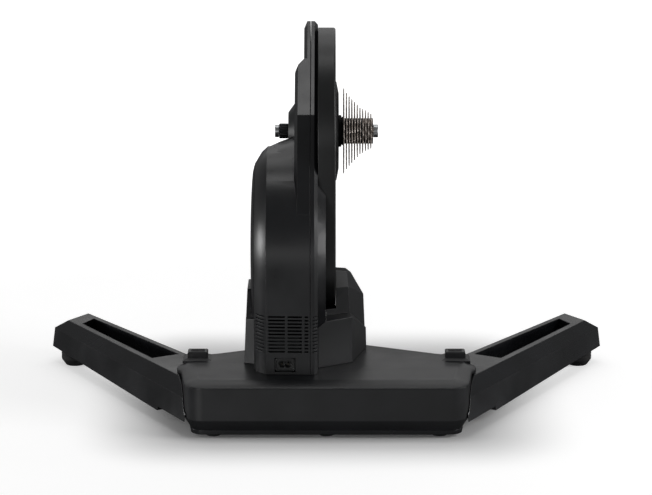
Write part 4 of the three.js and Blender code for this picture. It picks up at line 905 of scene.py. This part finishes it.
def makeFloor():
    s = floorLook
    half = s["size"] / 2
    mesh = bpy.data.meshes.new("studioFloor")
    corners = [(-half, -half, 0), (half, -half, 0), (half, half, 0), (-half, half, 0)]
    mesh.from_pydata(corners, [], [(0, 1, 2, 3)])
    floor = bpy.data.objects.new("studioFloor", mesh)
    bpy.context.scene.collection.objects.link(floor)
    material = bpy.data.materials.new("paintedStudioFloor")
    material.use_nodes = True
    tree = material.node_tree
    tree.nodes.clear()
    where = addNode(tree, "ShaderNodeTexCoord").outputs["Object"]
    distance = addNode(tree, "ShaderNodeVectorMath", {"operation": "LENGTH"}, {0: where}).outputs["Value"]
    # how far a spot lies outside the base's own rectangle
    aside = addNode(tree, "ShaderNodeVectorMath", {"operation": "ABSOLUTE"}, {0: where}).outputs[0]
    beyond = addNode(tree, "ShaderNodeVectorMath", {"operation": "SUBTRACT", 1: (*s["base"], 0)},
                     {0: aside}).outputs[0]
    outside = addNode(tree, "ShaderNodeVectorMath", {"operation": "MAXIMUM", 1: (0, 0, 0)},
                      {0: beyond}).outputs[0]
    reach = addNode(tree, "ShaderNodeVectorMath", {"operation": "LENGTH"}, {0: outside}).outputs["Value"]
    # the glow falls to almost nothing close to the base: this is painted shadow
    glowWithPaintedShadow = addNode(tree, "ShaderNodeMapRange", {
        "From Max": s["paintedShadowEnd"], "To Min": s["paintedShadowGlow"], "To Max": s["nearGlow"],
        "interpolation_type": "SMOOTHSTEP"}, {"Value": reach}).outputs["Result"]
    glow = addNode(tree, "ShaderNodeMapRange", {
        "From Min": s["fadeStart"], "From Max": s["fadeEnd"], "interpolation_type": "SMOOTHSTEP"},
        {"Value": distance, "To Min": glowWithPaintedShadow}).outputs["Result"]
    path = addNode(tree, "ShaderNodeLightPath")
    seen = addNode(tree, "ShaderNodeMath", {"operation": "MAXIMUM"}, {
        0: path.outputs["Is Camera Ray"], 1: path.outputs["Is Transmission Ray"]}).outputs[0]
    strength = addNode(tree, "ShaderNodeMath", {"operation": "MULTIPLY"}, {0: glow, 1: seen}).outputs[0]
    paint = addNode(tree, "ShaderNodeBsdfDiffuse", {"Color": linear(s["colour"])})
    # what the shell mirrors is painted: a painted pool of light, with painted shade at the base's foot
    fromPaintedPool = addNode(tree, "ShaderNodeVectorMath", {"operation": "DISTANCE", 1: s["paintedPoolCentre"]},
                       {0: where}).outputs["Value"]
    paintedPool = addNode(tree, "ShaderNodeMapRange", {
        "From Min": s["paintedPoolStart"], "From Max": s["paintedPoolEnd"], "To Min": s["mirroredNear"],
        "To Max": s["mirroredFar"], "interpolation_type": "SMOOTHSTEP",
    }, {"Value": fromPaintedPool}).outputs["Result"]
    # painted shade in the mirrored floor at the base's foot
    paintedFootShadow = addNode(tree, "ShaderNodeMapRange", {"From Max": s["paintedFootShadeEnd"], "To Min": s["paintedFootShade"]},
                    {"Value": reach}).outputs["Result"]
    mirrored = addNode(tree, "ShaderNodeMath", {"operation": "MULTIPLY"}, {0: paintedPool, 1: paintedFootShadow}).outputs[0]
    paintedReflection = addNode(tree, "ShaderNodeBsdfDiffuse", None, {"Color": mirrored})
    shown = addNode(tree, "ShaderNodeMixShader", None, {
        0: path.outputs["Is Glossy Ray"], 1: paint.outputs[0], 2: paintedReflection.outputs[0]})
    light = addNode(tree, "ShaderNodeEmission", {"Color": (1, 1, 1, 1)}, {"Strength": strength})
    both = addNode(tree, "ShaderNodeAddShader", None, {0: shown.outputs[0], 1: light.outputs[0]})
    addNode(tree, "ShaderNodeOutputMaterial", None, {"Surface": both.outputs[0]})
    mesh.materials.append(material)


makeFloor()

# White to the camera; the light it gives to surfaces and to mirrors is much less, as in a dim room.
worldLook = {"ambient": 0.14, "mirrored": 0.143}


def makeWorld():
    world = bpy.data.worlds.new("studioWorld")
    world.use_nodes = True
    tree = world.node_tree
    tree.nodes.clear()
    path = addNode(tree, "ShaderNodeLightPath")
    mirrored = addNode(tree, "ShaderNodeMapRange", {
        "To Min": worldLook["ambient"], "To Max": worldLook["mirrored"],
    }, {"Value": path.outputs["Is Glossy Ray"]}).outputs["Result"]
    seen = addNode(tree, "ShaderNodeMath", {"operation": "MAXIMUM"}, {
        0: path.outputs["Is Camera Ray"], 1: path.outputs["Is Transmission Ray"]}).outputs[0]
    strength = addNode(tree, "ShaderNodeMath", {"operation": "MAXIMUM"}, {0: mirrored, 1: seen}).outputs[0]
    sky = addNode(tree, "ShaderNodeBackground", {"Color": (1, 1, 1, 1)}, {"Strength": strength})
    addNode(tree, "ShaderNodeOutputWorld", None, {"Surface": sky.outputs[0]})
    bpy.context.scene.world = world


makeWorld()

# Each lamp's place, what it points at, its width and height, and its power
lamps = {
    "farHorizon": {"place": (0.0, 3.4, 1.0), "aim": (0, 0, 0.15), "size": (3.4, 0.4), "watts": 2.7},
    "farLow": {"place": (0.0, 2.6, 1.9), "aim": (0, 0, 0.25), "size": (3.4, 0.9), "watts": 7.4},
    "farHigh": {"place": (0.0, 1.5, 2.6), "aim": (0, 0, 0.25), "size": (3.4, 0.9), "watts": 11},
    "overhead": {"place": (0.0, 0.17, 3.0), "aim": (0, 0, 0.25), "size": (2.2, 0.5), "watts": 8.8},
    "leftStrip": {"place": (-2.6, 0.34, 0.24), "aim": (0, 0, 0.2), "size": (0.55, 0.42), "watts": 11.5},
    "rightStrip": {"place": (2.6, 0.3, 0.26), "aim": (0, 0, 0.2), "size": (0.36, 0.45), "watts": 10.5},
    "leftFill": {"place": (-2.6, -0.6, 1.5), "aim": (0, 0, 0.3), "size": (1.2, 1.2), "watts": 6},
    "rightFill": {"place": (2.6, -0.8, 1.6), "aim": (0, 0, 0.3), "size": (1.2, 1.2), "watts": 24},
    "rightLow": {"place": (2.9, -1.35, 0.32), "aim": (0, 0, 0.16), "size": (0.7, 0.42), "watts": 6},
    "nearHorizon": {"place": (-0.3, -3.6, 0.6), "aim": (0, 0, 0.2), "size": (3.0, 0.9), "watts": 5.6},
    "nearLeftLow": {"place": (-1.7, -3.0, 0.26), "aim": (0, 0, 0.16), "size": (0.9, 0.5), "watts": 22},
}
for lampName, look in lamps.items():
    light = bpy.data.lights.new(lampName, "AREA")
    light.shape = "RECTANGLE"
    light.size, light.size_y = look["size"]
    light.energy = look["watts"]
    lamp = bpy.data.objects.new(lampName, light)
    lamp.location = look["place"]
    lamp.rotation_euler = (Vector(look["aim"]) - Vector(look["place"])).to_track_quat("-Z", "Y").to_euler()
    lamp.visible_camera = False
    bpy.context.scene.collection.objects.link(lamp)

# Camera at the photograph's angle; its lens and sensor are in millimetres
cameraLook = {"place": (-0.0007, -3.24523, 0.959), "down": 13, "lens": 132.515, "sensor": 36, "reach": 60}
lens = bpy.data.cameras.new("studioCamera")
lens.lens = cameraLook["lens"]
lens.sensor_width = cameraLook["sensor"]
lens.clip_end = cameraLook["reach"]
camera = bpy.data.objects.new("studioCamera", lens)
camera.location = cameraLook["place"]
camera.rotation_euler = (math.radians(90 - cameraLook["down"]), 0, 0)
bpy.context.scene.collection.objects.link(camera)
bpy.context.scene.camera = camera
bpy.context.scene.view_settings.view_transform = "Standard"
print("studio made")
